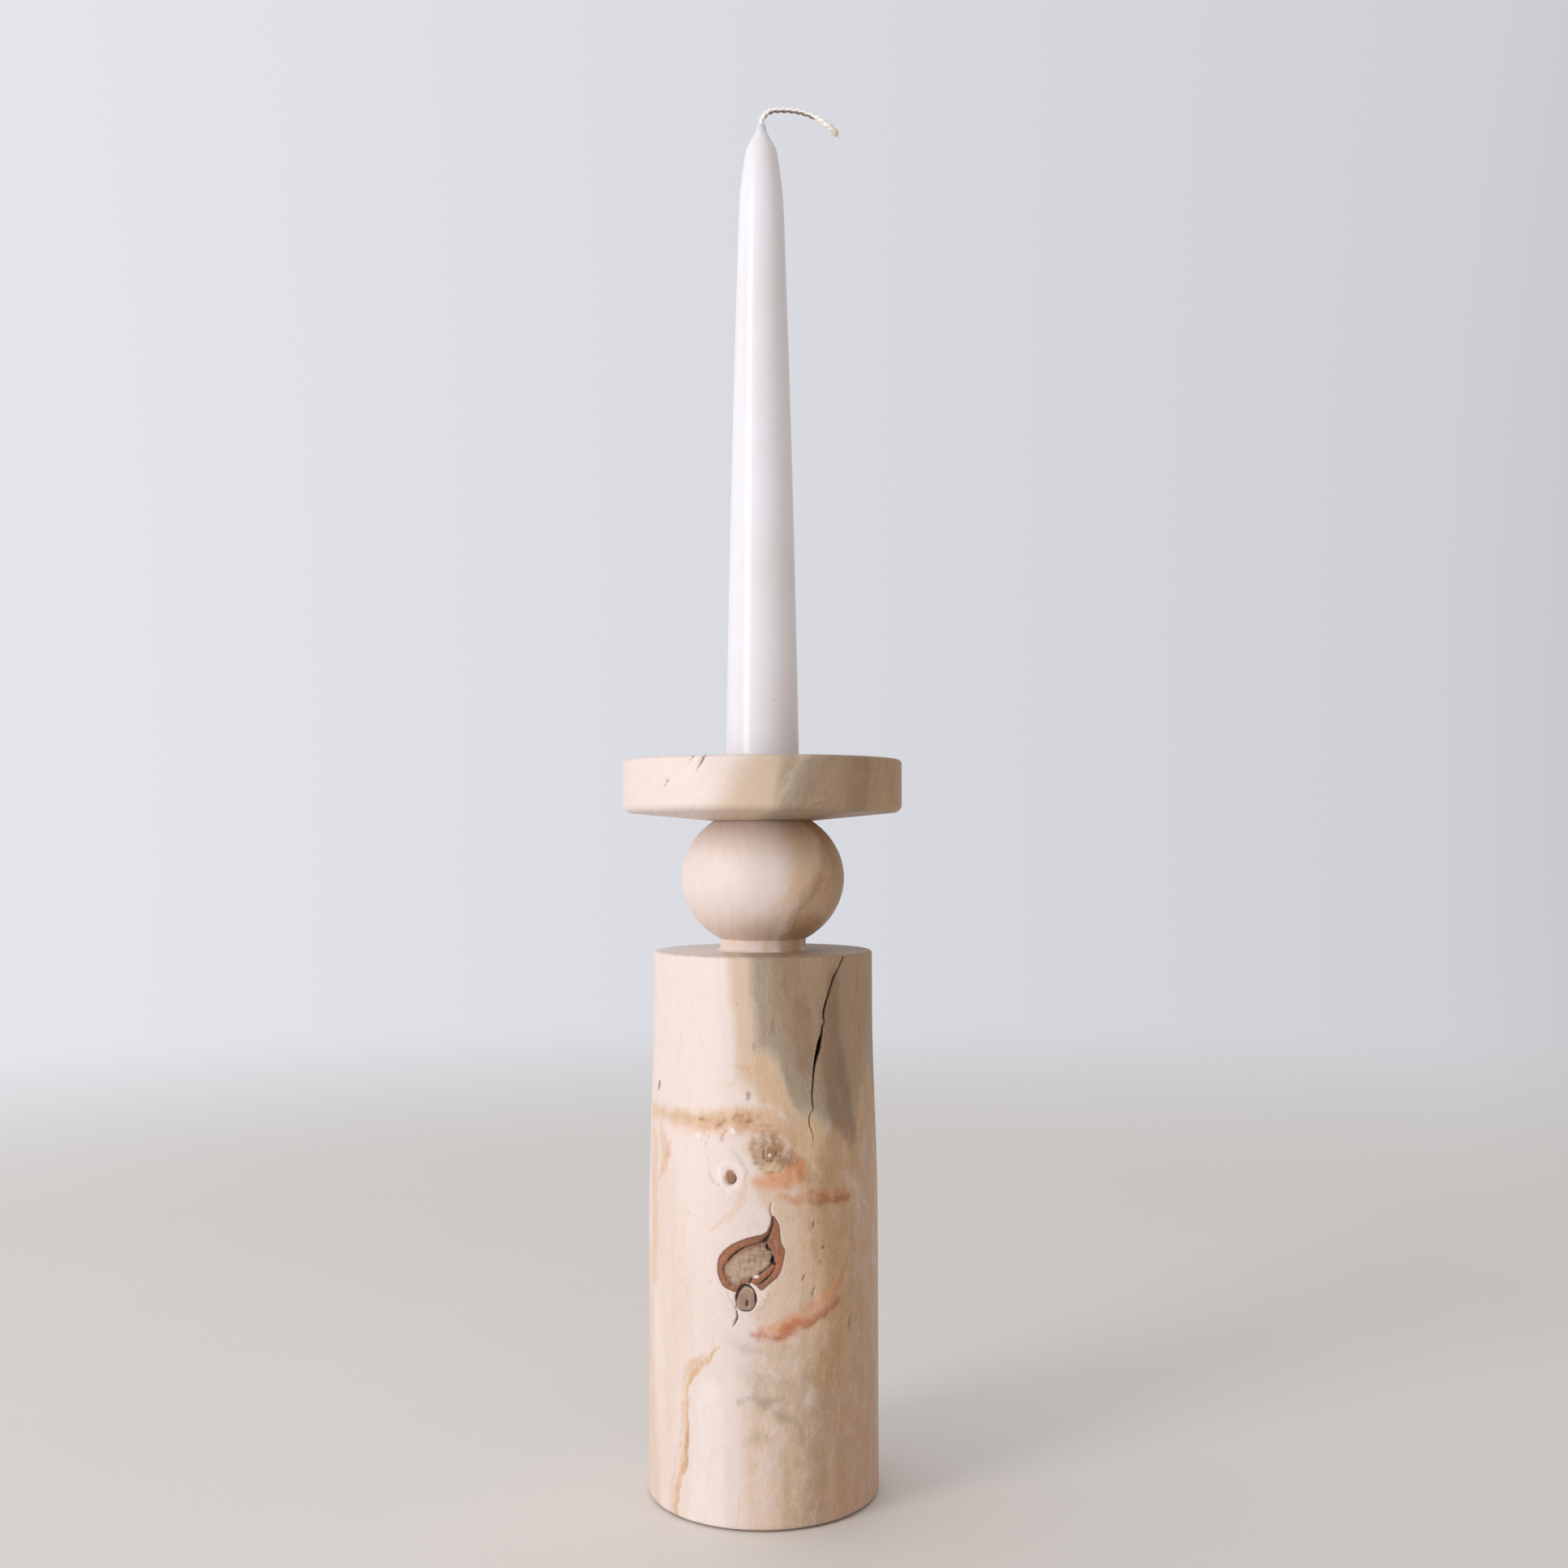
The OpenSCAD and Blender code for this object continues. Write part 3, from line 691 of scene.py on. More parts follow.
        (0.6, 0.35, (-17.6, 109, 0.06), (-18.5, 107.6, 0.08), (-17.9, 105.8, 0.06)),
        (0.75, 0.4, (-16, 109, 0.1), (-15.8, 107.2, 0.16), (-16.9, 105.7, 0.12)),
        (0.55, 0.9, (-11.6, 108.9, 0.5), (-11.3, 107.5, 0.6)),
        (0.95, 0.5, (-9.2, 97.5, 1.5), (-9, 96.9, 1.5)), (0.4, 1.2, (-9.6, 97, 2)),
        (0.5, 0.8, (-4.6, 65.8, 1.7), (-4.5, 64, 2.5), (-4.5, 62.8, 2.2)),
        (0.95, 0.6, (-38.8, 121, 0.5), (-38.8, 119, 0.6)),
        (0.55, 1.4, (12, 91, 0.6), (18, 89.6, 1), (27, 89.8, 1.1)),
        (0.5, 2.2, (3, 110, 1), (4, 106, 2.6), (6, 103, 2.4), (9, 101, 1.4)),
        (0.6, 0.8, (2, 52.5, 0.15), (5, 53.4, 0.25), (9.5, 54.3, 0.25), (13.5, 56, 0.3),
         (18, 58.2, 0.4), (21.5, 60.3, 0.6), (23.4, 62.2, 0.3)),
        (0.45, 1.2, (-22.9, 26, 0.2), (-23.1, 22, 0.6), (-23.4, 18, 0.5), (-24.2, 14, 0.3)),
        (0.9, 0.4, (14.9, 84.4, 0.25), (14.9, 83.2, 0.35)), (0.8, 0.5, (18, 77, 0.5)),
        (0.6, 0.5, (16.8, 73.8, 0.15), (17.2, 72.4, 0.3)), (0.4, 0.8, (18.3, 79, 0.2)),
        (0.7, 0.4, (12.3, 70.2, 0.15), (11.2, 68.2, 0.2)),
        (0.7, 0.4, (15.3, 66.6, 0.15), (14.3, 64, 0.25)),
        (0.7, 0.5, (28.8, 57, 0.15), (27, 53.4, 0.35)),
        (0.5, 0.5, (-14.9, 68.4, 0.2), (-14.8, 67.4, 0.2)),
        (0.6, 1.0, (16.5, 91.4, 0.3), (21, 90.2, 0.5), (26.6, 90, 0.5)),
        (0.5, 0.7, (1.6, 66.6, 0.05), (1.5, 65, 0.12), (0.8, 62.9, 0.12), (-1, 61.2, 0.12),
         (-4, 59.6, 0.1)),
        (0.5, 0.5, (-10.2, 65.6, 0.1), (-9, 63.4, 0.15), (-8, 61.4, 0.1)),
        (0.5, 0.5, (-7.4, 59.8, 0.2), (-7.4, 58, 0.35), (-8, 56.4, 0.2)),
        (0.5, 1.0, (-10, 146.4, 0.3)), (0.45, 1.0, (-7.6, 144.7, 0.4)),
        (0.5, 0.7, (-9.1, 152.3, 0.2)), (0.5, 0.8, (-31.6, 101.3, 0.5), (-30.4, 101, 0.2)),
        (0.35, 1.5, (-4.6, 63.8, 1.4)), (0.6, 0.6, (-1.2, 117.8, 0.3)),
        (0.9, 0.7, (-66, 88.6, 0.9), (-65.8, 87.4, 1.1)), (0.35, 2.0, (-66, 88, 2.2)),
        (0.9, 0.7, (71.2, 57.4, 0.8), (71.4, 56.2, 0.9)), (0.35, 2.0, (71.3, 56.8, 1.8)),
        (0.8, 0.7, (-96, 131, 0.8)), (0.6, 0.5, (60, 66, 0.2), (59.2, 63.6, 0.3)),
        (0.6, 0.5, (-52, 71, 0.2), (-52.4, 68.6, 0.25)), (0.6, 0.5, (82, 78, 0.3)),
        (0.6, 0.5, (-84, 60, 0.2), (-84.6, 57.6, 0.3)), (0.6, 0.5, (97, 38, 0.2), (96.4, 36, 0.3)),
    ],
    "rust": [
        (0.85, 3.4, (11, 92.4, 0.2), (14.4, 92.8, 0.7), (17, 91.1, 0.9), (22, 90, 1.1),
         (27, 90.4, 1.0)),
        (0.45, 2.6, (9, 90.4, 1), (16, 90.8, 2), (26, 90.3, 2.4)),
        (0.6, 1.6, (8.4, 104.6, 0.7), (10, 102.4, 0.9), (10.8, 99.4, 1), (11, 96, 0.7)),
        (0.9, 3.8, (-2.8, 54.4, 0.5), (-1.4, 54.2, 0.9), (1.5, 53.3, 1), (4.6, 53.5, 1.2),
         (6.6, 54.9, 1.4), (9, 56, 1.6), (12, 56.4, 1.6), (15, 57.7, 1.2), (19, 59.4, 1.1),
         (22.4, 61.8, 0.9)),
        (0.4, 2.0, (20, 62, 0.6), (24, 67, 0.8), (27, 73, 0.5)),
    ],
    "peach": [
        (0.4, 5.0, (-32, 110.4, 1.4), (-18, 110.4, 2.4), (-8, 111.6, 3.4), (2, 111, 3.4),
         (8, 108, 2)),
        (0.5, 1.6, (-19.4, 42.8, 0.5), (-22.4, 38, 0.4), (-23, 27, 0.4), (-23.4, 20, 0.5),
         (-25.6, 12, 0.4), (-27.8, -2, 0.4)),
        (0.95, 3.2, (-0.5, 96, 1.8), (4, 96, 2.6), (8, 97, 2.8), (10.4, 99.6, 2.4)),
        (0.7, 2.2, (0, 55.6, 1.2), (6, 57, 1.8), (12, 59, 2)),
        (0.55, 2.4, (5.6, 92, 1.2), (10, 90, 1.2)),
        (0.75, 2.6, (8, 58.4, 1), (13, 60.2, 1.6), (18, 62.8, 1.8), (22, 66, 1)),
        (0.6, 2.2, (-31.5, 104, 1.4), (-32, 101, 1.4)), (0.4, 3.0, (-35, 96, 1.4)),
        (0.3, 1.6, (-23.4, 44, 0.5), (-24.4, 38, 0.5), (-24.4, 30, 0.4)),
        (0.3, 1.2, (-20.4, 52.6, 0.3), (-21.3, 48, 0.3)),
    ],
    "pale": [
        (0.6, 1.2, (-19.4, 107.8, 0.9)), (1.0, 0.4, (-8.5, 109.6, 0.7), (-8.2, 109.7, 0.6)),
        (1.0, 0.3, (2.1, 103.5, 0.34)), (1.0, 0.3, (-1.8, 69.9, 0.45), (-1.5, 69.9, 0.45)),
        (0.6, 1.0, (-12.6, 98, 0.5), (-12.2, 100.2, 0.5), (-10, 101.4, 0.7), (-7.2, 100.6, 0.6),
         (-5.8, 98, 0.4), (-6.4, 95, 0.4), (-9.6, 93.8, 0.4), (-12, 95.6, 0.4), (-12.6, 98, 0.5)),
        (0.3, 0.8, (-0.4, 66, 0.4), (-0.3, 64.4, 0.8), (-1, 62.8, 0.4)),
        (0.45, 1.4, (2.2, 43.8, 0.5), (5, 42.4, 0.7)), (0.3, 1.0, (8, 44.4, 0.3), (11.5, 46.6, 0.3)),
        (0.35, 1.2, (-2, 117.6, 0.2), (1.4, 117.2, 0.5), (4.4, 116, 0.5), (7, 113, 0.4)),
        (0.4, 1.6, (5.6, 108.4, 0.6), (7, 106, 0.8), (6.6, 103.6, 0.4)),
        (0.5, 4.0, (-15, 37, 4.6), (-15.4, 22, 5), (-16, -2, 7)),
        (0.4, 0.6, (-1, 73.6, 0.1), (-0.4, 74.6, 0.14), (0.6, 74.2, 0.1), (0.4, 73.2, 0.1),
         (-0.4, 73, 0.1)),
        (0.35, 1.0, (4.1, 79.6, 0.1), (4.4, 77, 0.1)), (0.3, 1.4, (3, 84.6, 0.1)),
    ],
}


def ruffle(u, z, finest, coarsest, seed):
    # crossing waves of many sizes and directions, about -1 to 1
    chance = random.Random(seed)
    total = np.zeros(len(u))
    for _ in range(14):
        size = finest * (coarsest / finest) ** chance.random()
        turn = chance.uniform(0, math.tau)
        total += np.sin((u * math.cos(turn) + z * math.sin(turn)) * math.tau / size
                        + chance.uniform(0, math.tau))
    return total / 3.5


def markFigure(mesh, figureOf, marks=None, skinRadius=None):
    # writes what the poplar material reads: heart depth, grain, end grain, stains, knots, gaps, and
    # the depth below the turned skin that the painted shade in the crack follows
    marks = marks or {}
    p = places(mesh)
    x, y, z = p.T
    unroll = figureOf["unroll"]
    angle = np.arctan2(x, -y)
    u = angle * unroll
    # depth into the heart: distance from the pith against that of the heart's edge
    px, py = figureOf["pith"]
    heights, edges = np.array(figureOf["edge"], float).T
    edgeAngle = np.interp(z, heights, edges) / unroll
    radius = np.hypot(x, y)
    edgeX, edgeY = unroll * np.sin(edgeAngle), -unroll * np.cos(edgeAngle)
    ringPlace = np.hypot(edgeX - px, edgeY - py) - np.hypot(x - px, y - py)
    heart = ringPlace.copy()
    if "heartFoot" in marks:
        foot = np.array(marks["heartFoot"], float)
        heart = np.minimum(heart, (z - np.interp(u, foot[:, 0], foot[:, 1])) * 0.45)
    heart = np.where(heart < 0, heart * 8 / figureOf["border"], heart)
    flow = np.zeros(len(u))
    for ku, kz, wide, tall in marks.get("knots", []):
        near = np.maximum(((u - ku) / wide) ** 2 + ((z - kz) / tall) ** 2, 1)
        flow -= (u - ku) / near
    ray = np.stack([np.cos(angle), np.sin(angle), np.zeros(len(u))], 1)
    grain = p + ray * flow[:, None]
    grain[:, 0] -= figureOf["slant"] * z
    mark(mesh, "grainPlace", grain)
    mark(mesh, "ringPlace", ringPlace + flow)
    mark(mesh, "heartDepth", heart)
    normals = np.empty(len(mesh.vertices) * 3, np.float32)
    mesh.vertices.foreach_get("normal", normals)
    mark(mesh, "endGrain", normals[2::3] ** 2)
    # the stains' outlines wander a little
    wideU = u + 0.3 * ruffle(u, z, 3.0, 12, 21)
    wideZ = z + 0.3 * ruffle(u, z, 3.0, 12, 23)
    for name in [stain[0] for stain in poplarStains] + ["brown", "pale"]:
        amount = np.zeros(len(u))
        for strength, soft, *points in marks.get(name, []):
            gap = strokeGap(wideU, wideZ, points, soft, math.tau * unroll)
            amount = np.maximum(amount, strength * fade(gap, soft))
        mark(mesh, name, amount)
    for name in ("bark", "plug"):
        gap = np.full(len(u), 9.0)
        if name in marks:
            near = (abs(u) < 20) & (z > 60) & (z < 95)
            gap[near] = loopDistance(u[near], z[near], smoothPath(marks[name], 4, True))
        mark(mesh, name + "Edge", gap)
    gap = np.full(len(u), 9.0)
    for points in marks.get("gaps", []):
        gap = np.minimum(gap, strokeGap(u, z, points, 2.0, math.tau * unroll))
    mark(mesh, "darkLine", gap)
    # depth below the turned skin, where the material paints near-black shade
    mark(mesh, "sunk", np.zeros(len(u)) if skinRadius is None else skinRadius(z) - radius)


# ---- column ----

columnLook = {"topRadius": 32.55, "taperFrom": 0.49, "taperShare": 0.42, "edge": 1.0,
              "dowelRadius": 6.1, "dowelDepth": 14.5, "feltRadius": 30.1,
              "segments": 308, "crowding": -0.55, "waver": 0.22, "waverSize": 22.0, "seed": 1.0}
(_, _, columnLow), (columnRadius, _, columnHigh) = boxMm("column")
feltTop = boxMm("base_pad")[1][2]


def columnSkin(z):
    # the turned side's radius at a height: straight, a soft wave inwards, straight
    look = columnLook
    share = (np.asarray(z, float) - columnLow) / (columnHigh - columnLow)
    t = np.clip((share - look["taperFrom"]) / look["taperShare"], 0, 1)
    return columnRadius - (columnRadius - look["topRadius"]) / 2 * (1 - np.cos(math.pi * t))


def columnOutline():
    look = columnLook
    e = look["edge"]
    side = [(float(columnSkin(z)), z) for z in np.linspace(columnLow + 4, columnHigh - 3, 40)]
    return ([(0, feltTop), (look["feltRadius"], feltTop), (look["feltRadius"], columnLow)]
            + arc(columnRadius - e, columnLow + e, e, -90, 0) + side
            + arc(look["topRadius"] - e, columnHigh - e, e, 0, 90)
            + [(look["dowelRadius"], columnHigh),
               (look["dowelRadius"], columnHigh - look["dowelDepth"]),
               (0, columnHigh - look["dowelDepth"])])


def columnRows(z):
    # rows of faces stand closer together over the knots, and further apart on the flat ends
    if z < feltTop + 0.1 or z > columnHigh - 0.1:
        return 2.4
    return 0.36 if 56 < z < 91 else 0.9


columnLook["rowStep"] = columnRows
crackLook = {
    # (mm round from the front, height, width, depth), from above the top edge to its lower end
    "route": [(28.6, 159.8, 0.55, 6.5), (27, 157.5, 0.6, 6.5), (25, 154.5, 0.5, 6.5),
              (23, 151.8, 0.62, 6.3), (21.8, 149, 0.55, 6.2), (20.5, 146, 0.62, 6),
              (19.5, 143, 0.6, 6), (19.2, 141, 0.5, 5.8), (19.45, 139.4, 0.4, 5.6),
              (18.8, 138.4, 0.5, 5.5), (18.5, 136.3, 0.6, 5.4), (17.9, 134, 1.1, 5.2),
              (17.3, 131.6, 1.15, 5), (16.4, 129, 0.8, 4.6), (15.7, 125.6, 0.5, 4),
              (15.3, 122, 0.46, 3.4), (15, 119, 0.42, 3), (15.4, 116, 0.34, 2.5),
              (14.8, 114.9, 0.3, 2.2), (14.2, 114, 0.3, 2), (13.9, 111.6, 0.3, 1.7),
              (14.7, 109.5, 0.26, 1.4), (15.1, 107.2, 0.22, 1), (14.6, 105, 0.06, 0.4)],
    "jitter": 0.07, "seed": 5,
}


def cutCrack(mesh):
    # a crooked V-shaped slit, cut right through the top edge
    look = crackLook
    chance = random.Random(look["seed"])
    bm = bmesh.new()
    rings = []
    for u, z, width, depth in smoothPath(look["route"], 4):
        u += chance.uniform(-1, 1) * look["jitter"]
        radius = float(columnSkin(z))
        proud = 1.5
        half = 0.78 * width * (depth + proud) / depth
        corners = [(u - half, radius + proud), (u + half, radius + proud), (u, radius - depth)]
        ring = []
        for place, r in corners:
            angle = place / columnFigure["unroll"]
            ring.append(bm.verts.new((r * math.sin(angle) * mm, -r * math.cos(angle) * mm,
                                      z * mm)))
        rings.append(ring)
    for a, b in zip(rings, rings[1:]):
        for i in range(3):
            bm.faces.new((a[i], a[(i + 1) % 3], b[(i + 1) % 3], b[i]))
    bm.faces.new(rings[0][::-1])
    bm.faces.new(rings[-1])
    bmesh.ops.recalc_face_normals(bm, faces=bm.faces)
    wedge = bpy.data.meshes.new("wedge")
    bm.to_mesh(wedge)
    bm.free()
    tool = bpy.data.objects.new("wedge", wedge)
    blank = bpy.data.objects.new("blank", mesh)
    for o in (tool, blank):
        bpy.context.scene.collection.objects.link(o)
    cut = blank.modifiers.new("crack", "BOOLEAN")
    cut.object, cut.operation, cut.solver = tool, "DIFFERENCE", "EXACT"
    now = bpy.context.evaluated_depsgraph_get()
    now.update()
    made = bpy.data.meshes.new_from_object(blank.evaluated_get(now), depsgraph=now)
    for o in (tool, blank):
        bpy.data.objects.remove(o)
    return made


def carveColumn(mesh, marks):
    # opens the gaps round the knots and roughens the knots between them
    p = places(mesh)
    x, y, z = p.T
    r = np.hypot(x, y)
    u = np.arctan2(x, -y) * columnFigure["unroll"]
    side = (r > columnSkin(z) - 0.6) & (z > columnLow + 1.5) & (z < columnHigh - 1.5)
    uneven = ruffle(u, z, 0.8, 3.0, 11)
    depth = np.zeros(len(u))
    for points in marks["gaps"]:
        gap = strokeGap(u, z, points, 1.5, math.tau * columnFigure["unroll"]) + 0.05 * uneven
        reach = np.interp(gap, [-0.4, 0, 0.2, 0.4], [1.0, 0.45, 0.1, 0])
        depth = np.maximum(depth, reach * (0.75 + 0.2 * uneven))
    for name, deep in (("bark", 0.14), ("plug", 0.12)):
        near = (abs(u) < 20) & (z > 60) & (z < 95)
        gap = loopDistance(u[near], z[near], smoothPath(marks[name], 4, True))
        depth[near] += deep * fade(gap, 1.0) * (1 + 0.5 * uneven[near])
    scale = 1 - np.where(side, depth, 0) / np.maximum(r, 1e-6)
    p[:, 0] *= scale
    p[:, 1] *= scale
    setPlaces(mesh, p)


columnMesh = cutCrack(turn(columnOutline(), poplar, columnLook))
settle(columnMesh)
carveColumn(columnMesh, columnMarks)
# the turned skin's radius, against which the crack's painted shade is measured
markFigure(columnMesh, columnFigure, columnMarks,
           lambda z: np.where((z > feltTop + 0.1) & (z < columnHigh - 1.3), columnSkin(z), 0))
newPiece("turnedColumn", columnMesh, "stick", "column", poplar)
print("column turned, cracked and carved:", len(columnMesh.polygons), "faces")


# ---- ball neck ----

beadLook = {"ovalHeight": 42.6, "middle": 21.5, "neckRadius": 12.8, "cove": 1.2,
            "dowelRadius": 6.1, "dowelDepth": 14.5, "socketRadius": 12.2, "rowStep": 1.0,
            "segments": 300, "crowding": -0.3, "waver": 0.18, "waverSize": 30.0, "seed": 2.0}
(_, _, beadLow), (beadRadius, _, beadHigh) = boxMm("bead")
socketFloor = boxMm("candle_cup")[0][2]


beadMarks = {
    "tan": [(0.5, 6.0, (2, 158, 3), (6, 170, 3), (12, 180, 3), (16, 192, 3)),
            (0.4, 5.0, (-22, 162, 3), (-8, 163, 4), (4, 165, 4))],
    "umber": [(0.8, 6.0, (17, 158, 8), (19, 168, 9), (25, 177, 9), (31, 186, 10), (34, 198, 12)),
              (0.8, 8.0, (44, 200, 14), (44, 158, 14))],
    "dusk": [(0.35, 3.0, (12, 166, 2), (14, 172, 2), (20, 180, 1.6))],
}


def beadOutline():
    look = beadLook
    half = look["ovalHeight"] / 2
    middle = beadLow + look["middle"]
    low = -math.acos(look["neckRadius"] / beadRadius)
    high = math.asin((beadHigh - middle) / half)
    ball = [(beadRadius * math.cos(t), middle + half * math.sin(t))
            for t in np.linspace(low, high, 70)]
    return ([(0, beadLow + look["dowelDepth"]), (look["dowelRadius"], beadLow + look["dowelDepth"]),
             (look["dowelRadius"], beadLow)]
            + arc(look["neckRadius"] + look["cove"], beadLow + look["cove"], look["cove"], 270, 180)
            + ball + [(look["socketRadius"], beadHigh), (look["socketRadius"], socketFloor),
                      (0, socketFloor)])


beadMesh = turn(beadOutline(), poplar, beadLook)
markFigure(beadMesh, beadFigure, beadMarks)
newPiece("ballNeck", beadMesh, "stick", "bead", poplar)
print("ball neck turned")


# ---- drip plate ----

plateLook = {"underRise": 2.3, "lowerEdge": 2.5, "upperEdge": 1.3, "rim": 3.0, "dish": 3.0,
             "hubRadius": 14.8, "socketRadius": 12.2, "rowStep": 0.8, "segments": 340,
             "crowding": -0.35, "waver": 0.2, "waverSize": 20.0, "seed": 3.0}
(_, _, plateLow), (plateRadius, _, plateHigh) = boxMm("drip_plate")
plateMarks = {
    "gaps": [[(-18.1, 210.4, 0.05), (-17.1, 212.3, 0.14), (-16.1, 214.2, 0.16)],
             [(-20.8, 212.6, 0.03), (-20.2, 213.4, 0.1), (-19.8, 214.2, 0.1)],
             [(-30.2, 205.6, 0.05), (-29.6, 207, 0.12), (-28.3, 207.9, 0.1)],
             [(70, 206, 0.05), (71, 209, 0.14), (72.4, 212, 0.1)],
             [(-98, 203, 0.05), (-97, 207, 0.12)]],
    "brown": [(0.7, 0.5, (-18.2, 210.2, 0.1), (-17.1, 212.3, 0.25), (-16, 214.4, 0.25)),
              (0.5, 0.5, (-20.9, 212.4, 0.1), (-19.9, 214.2, 0.2)),
              (0.6, 0.5, (-30.2, 205.4, 0.1), (-29.6, 207, 0.15), (-28.2, 207.9, 0.25)),
              (0.6, 1.0, (15, 200.8, 0.3), (18, 201.4, 0.3), (21, 203, 0.2))],
    "tan": [(0.35, 5.0, (40, 218, 0.1), (40.6, 208, 2), (40, 196, 2))],
    "umber": [(0.45, 1.2, (48, 218, 10), (48, 206, 10.4), (48, 194, 10))],
    "moss": [(0.8, 3.5, (8, 216, 4), (6.6, 209, 1.6), (4.4, 203, 0.6))],
    "dusk": [(0.5, 3.0, (31, 216, 4), (30, 206, 4), (29, 196, 4))],
}


def plateOutline():
    look = plateLook
    r, low = plateRadius, look["lowerEdge"]
    land = r - look["upperEdge"] - look["rim"]
    dish = [(land - 2 * look["dish"] * (1 - math.cos(t)), plateHigh - look["dish"] * math.sin(t))
            for t in np.linspace(0, math.pi / 2, 12)]
    start = (look["socketRadius"], plateLow)
    return ([start, (look["hubRadius"], plateLow)]
            + arc(r - low, plateLow + look["underRise"] + low, low, -90, 0)
            + arc(r - look["upperEdge"], plateHigh - look["upperEdge"], look["upperEdge"], 0, 90)
            + dish + [(look["socketRadius"], plateHigh - look["dish"]), start])


def nickRim(mesh, marks):
    # opens the short nicks in the plate's rim
    p = places(mesh)
    r = np.hypot(p[:, 0], p[:, 1])
    u = np.arctan2(p[:, 0], -p[:, 1]) * plateFigure["unroll"]
    depth = np.zeros(len(r))
    for points in marks["gaps"]:
        gap = strokeGap(u, p[:, 2], points, 1.5, math.tau * plateFigure["unroll"])
        depth = np.maximum(depth, np.interp(gap, [-0.3, 0, 0.35], [0.7, 0.45, 0]))
    depth[r < plateRadius - 1] = 0
    p[:, :2] *= ((r - depth) / r)[:, None]
    setPlaces(mesh, p)


plateMesh = turn(plateOutline(), poplar, plateLook)
nickRim(plateMesh, plateMarks)
markFigure(plateMesh, plateFigure, plateMarks)
newPiece("dripPlate", plateMesh, "stick", "drip_plate", poplar)
print("drip plate turned")


# ---- candle: paraffin wax, cast and drawn, a satin skin over a milky inside ----

waxLook = {"tone": "#EAE9EE", "warm": "#E6E4E6", "speck": "#6F675C", "scatter": 2.2,
           "speckSpacing": 9.0, "speckRadius": 0.28}


def makeWax(look):
    material, tree, skin = newMaterial(
        "castParaffin", IOR=1.44, Subsurface_Weight=0.5, Subsurface_Radius=(1.0, 0.9, 0.8),
        Subsurface_Scale=look["scatter"] * mm, Coat_Weight=0.25, Coat_Roughness=0.12)
    add = partial(addNode, tree)
    place = add("TexCoord", output="Object")
    _, tint = mottle(tree, place, 45.0, 4.0, [(0.35, look["tone"]), (0.7, look["warm"])])
    # a few specks of dust caught in the wax
    cells = add("TexVoronoi", {"Vector": place, "Scale": 1 / (look["speckSpacing"] * mm)},
                "Distance")
    radius = look["speckRadius"] / look["speckSpacing"]
    speck = add("MapRange", (cells, radius, radius * 0.5))
    colour = add("Mix.MIX", {0: speck, 6: tint, 7: linear(look["speck"])}, 2, data_type="RGBA")
    drawn, _ = mottle(tree, place, (900, 900, 60), 3.0, None)
    gloss = add("MapRange", {"Value": drawn, "To Min": 0.24, "To Max": 0.38})
    dressSkin(tree, skin, colour, drawn, 0.12, 0.1, gloss)
    return material


paraffin = makeWax(waxLook)
candleLook = {"foot": 22.4, "slope": 0.0153, "curve": 0.000059, "wickRadius": 1.2,
              # the tip's outline, (radius, mm below the wax's end)
              "tip": [(7.25, 36.1), (6.94, 26.2), (6.6, 19.7), (6.12, 15.1), (5.65, 11.8),
                      (5.1, 7.9), (4.45, 5.2), (3.5, 3.3), (2.4, 1.4), (1.75, 0.1), (1.45, -1.1),
                      (1.26, -2.1)],
              "rowStep": 1.2, "segments": 160, "crowding": 0.0, "waver": 0.16,
              "waverSize": 18.0, "seed": 4.0}
(_, _, candleLow), (candleRadius, _, candleHigh) = boxMm("candle")


def candleOutline():
    look = candleLook
    shoulder = candleHigh - look["tip"][0][1] - 2
    body = []
    for z in np.linspace(candleLow + look["foot"], shoulder, 60):
        up = z - candleLow - look["foot"]
        body.append((candleRadius - look["slope"] * up - look["curve"] * up ** 2, z))
    tip = [(x, candleHigh - down) for x, down in smoothPath(look["tip"], 5)]
    start = (look["wickRadius"], candleLow)
    return ([start, (candleRadius - 0.8, candleLow)]
            + arc(candleRadius - 0.8, candleLow + 0.8, 0.8, -90, 0, 4) + body + tip
            + [(look["wickRadius"], candleHigh - look["tip"][-1][1] - 0.1), start])


candleMesh = turn(candleOutline(), paraffin, candleLook)
newPiece("dinnerCandle", candleMesh, "candle", "candle", paraffin)
print("candle cast")


# ---- wick: braided cotton, waxed ----

wickLook = {
    "strand": 0.6, "wide": 0.42, "thick": 0.2, "pitch": 6.4, "step": 0.35, "strands": 3,   # mm
    "swell": 0.4, "swellFrom": 16.5,
    "hairs": 34, "hairLength": 1.9, "hairRadius": 0.07, "seed": 11,
    # the brown for the underside line is painted shade
    "tone": "#FAF9F8", "shade": "#EEE9E1", "tipTone": "#BFA888", "undersideShade": "#5B3F2C",
}


def makeCotton(look):
    # braided cotton soaked in wax: soft white threads with a random darker mottle, beige at the cut
    # end, and painted shade along the underside
    material, tree, skin = newMaterial("waxedCotton", IOR=1.45)
    add = partial(addNode, tree)
    along = add("Attribute", output="Fac", attribute_name="along")
    under = add("Attribute", output="Fac", attribute_name="under")
    fibre, tint = mottle(tree, add("TexCoord", output="Object"), 2600.0, 4.0,
                         [(0.35, look["shade"]), (0.6, look["tone"])])
    end = add("MapRange.SMOOTHSTEP", (along, 0.98, 1.01))
    colour = add("Mix.MIX", {0: end, 6: tint, 7: linear(look["tipTone"])}, 2, data_type="RGBA")
    # painted shade: a brown line along the underside, where the flat braid turns away from the light
    broken = add("Math.MULTIPLY_ADD", (fibre, 0.6, under))
    line = add("MapRange", (broken, 0.6, 0.95, 0.0, 0.85))
    colour = add("Mix.MIX", {0: line, 6: colour, 7: linear(look["undersideShade"])}, 2, data_type="RGBA")
    rough = add("MapRange", {"Value": fibre, "To Min": 0.5, "To Max": 0.8})
    dressSkin(tree, skin, colour, fibre, 0.5, 0.08, rough)
    return material


cotton = makeCotton(wickLook)


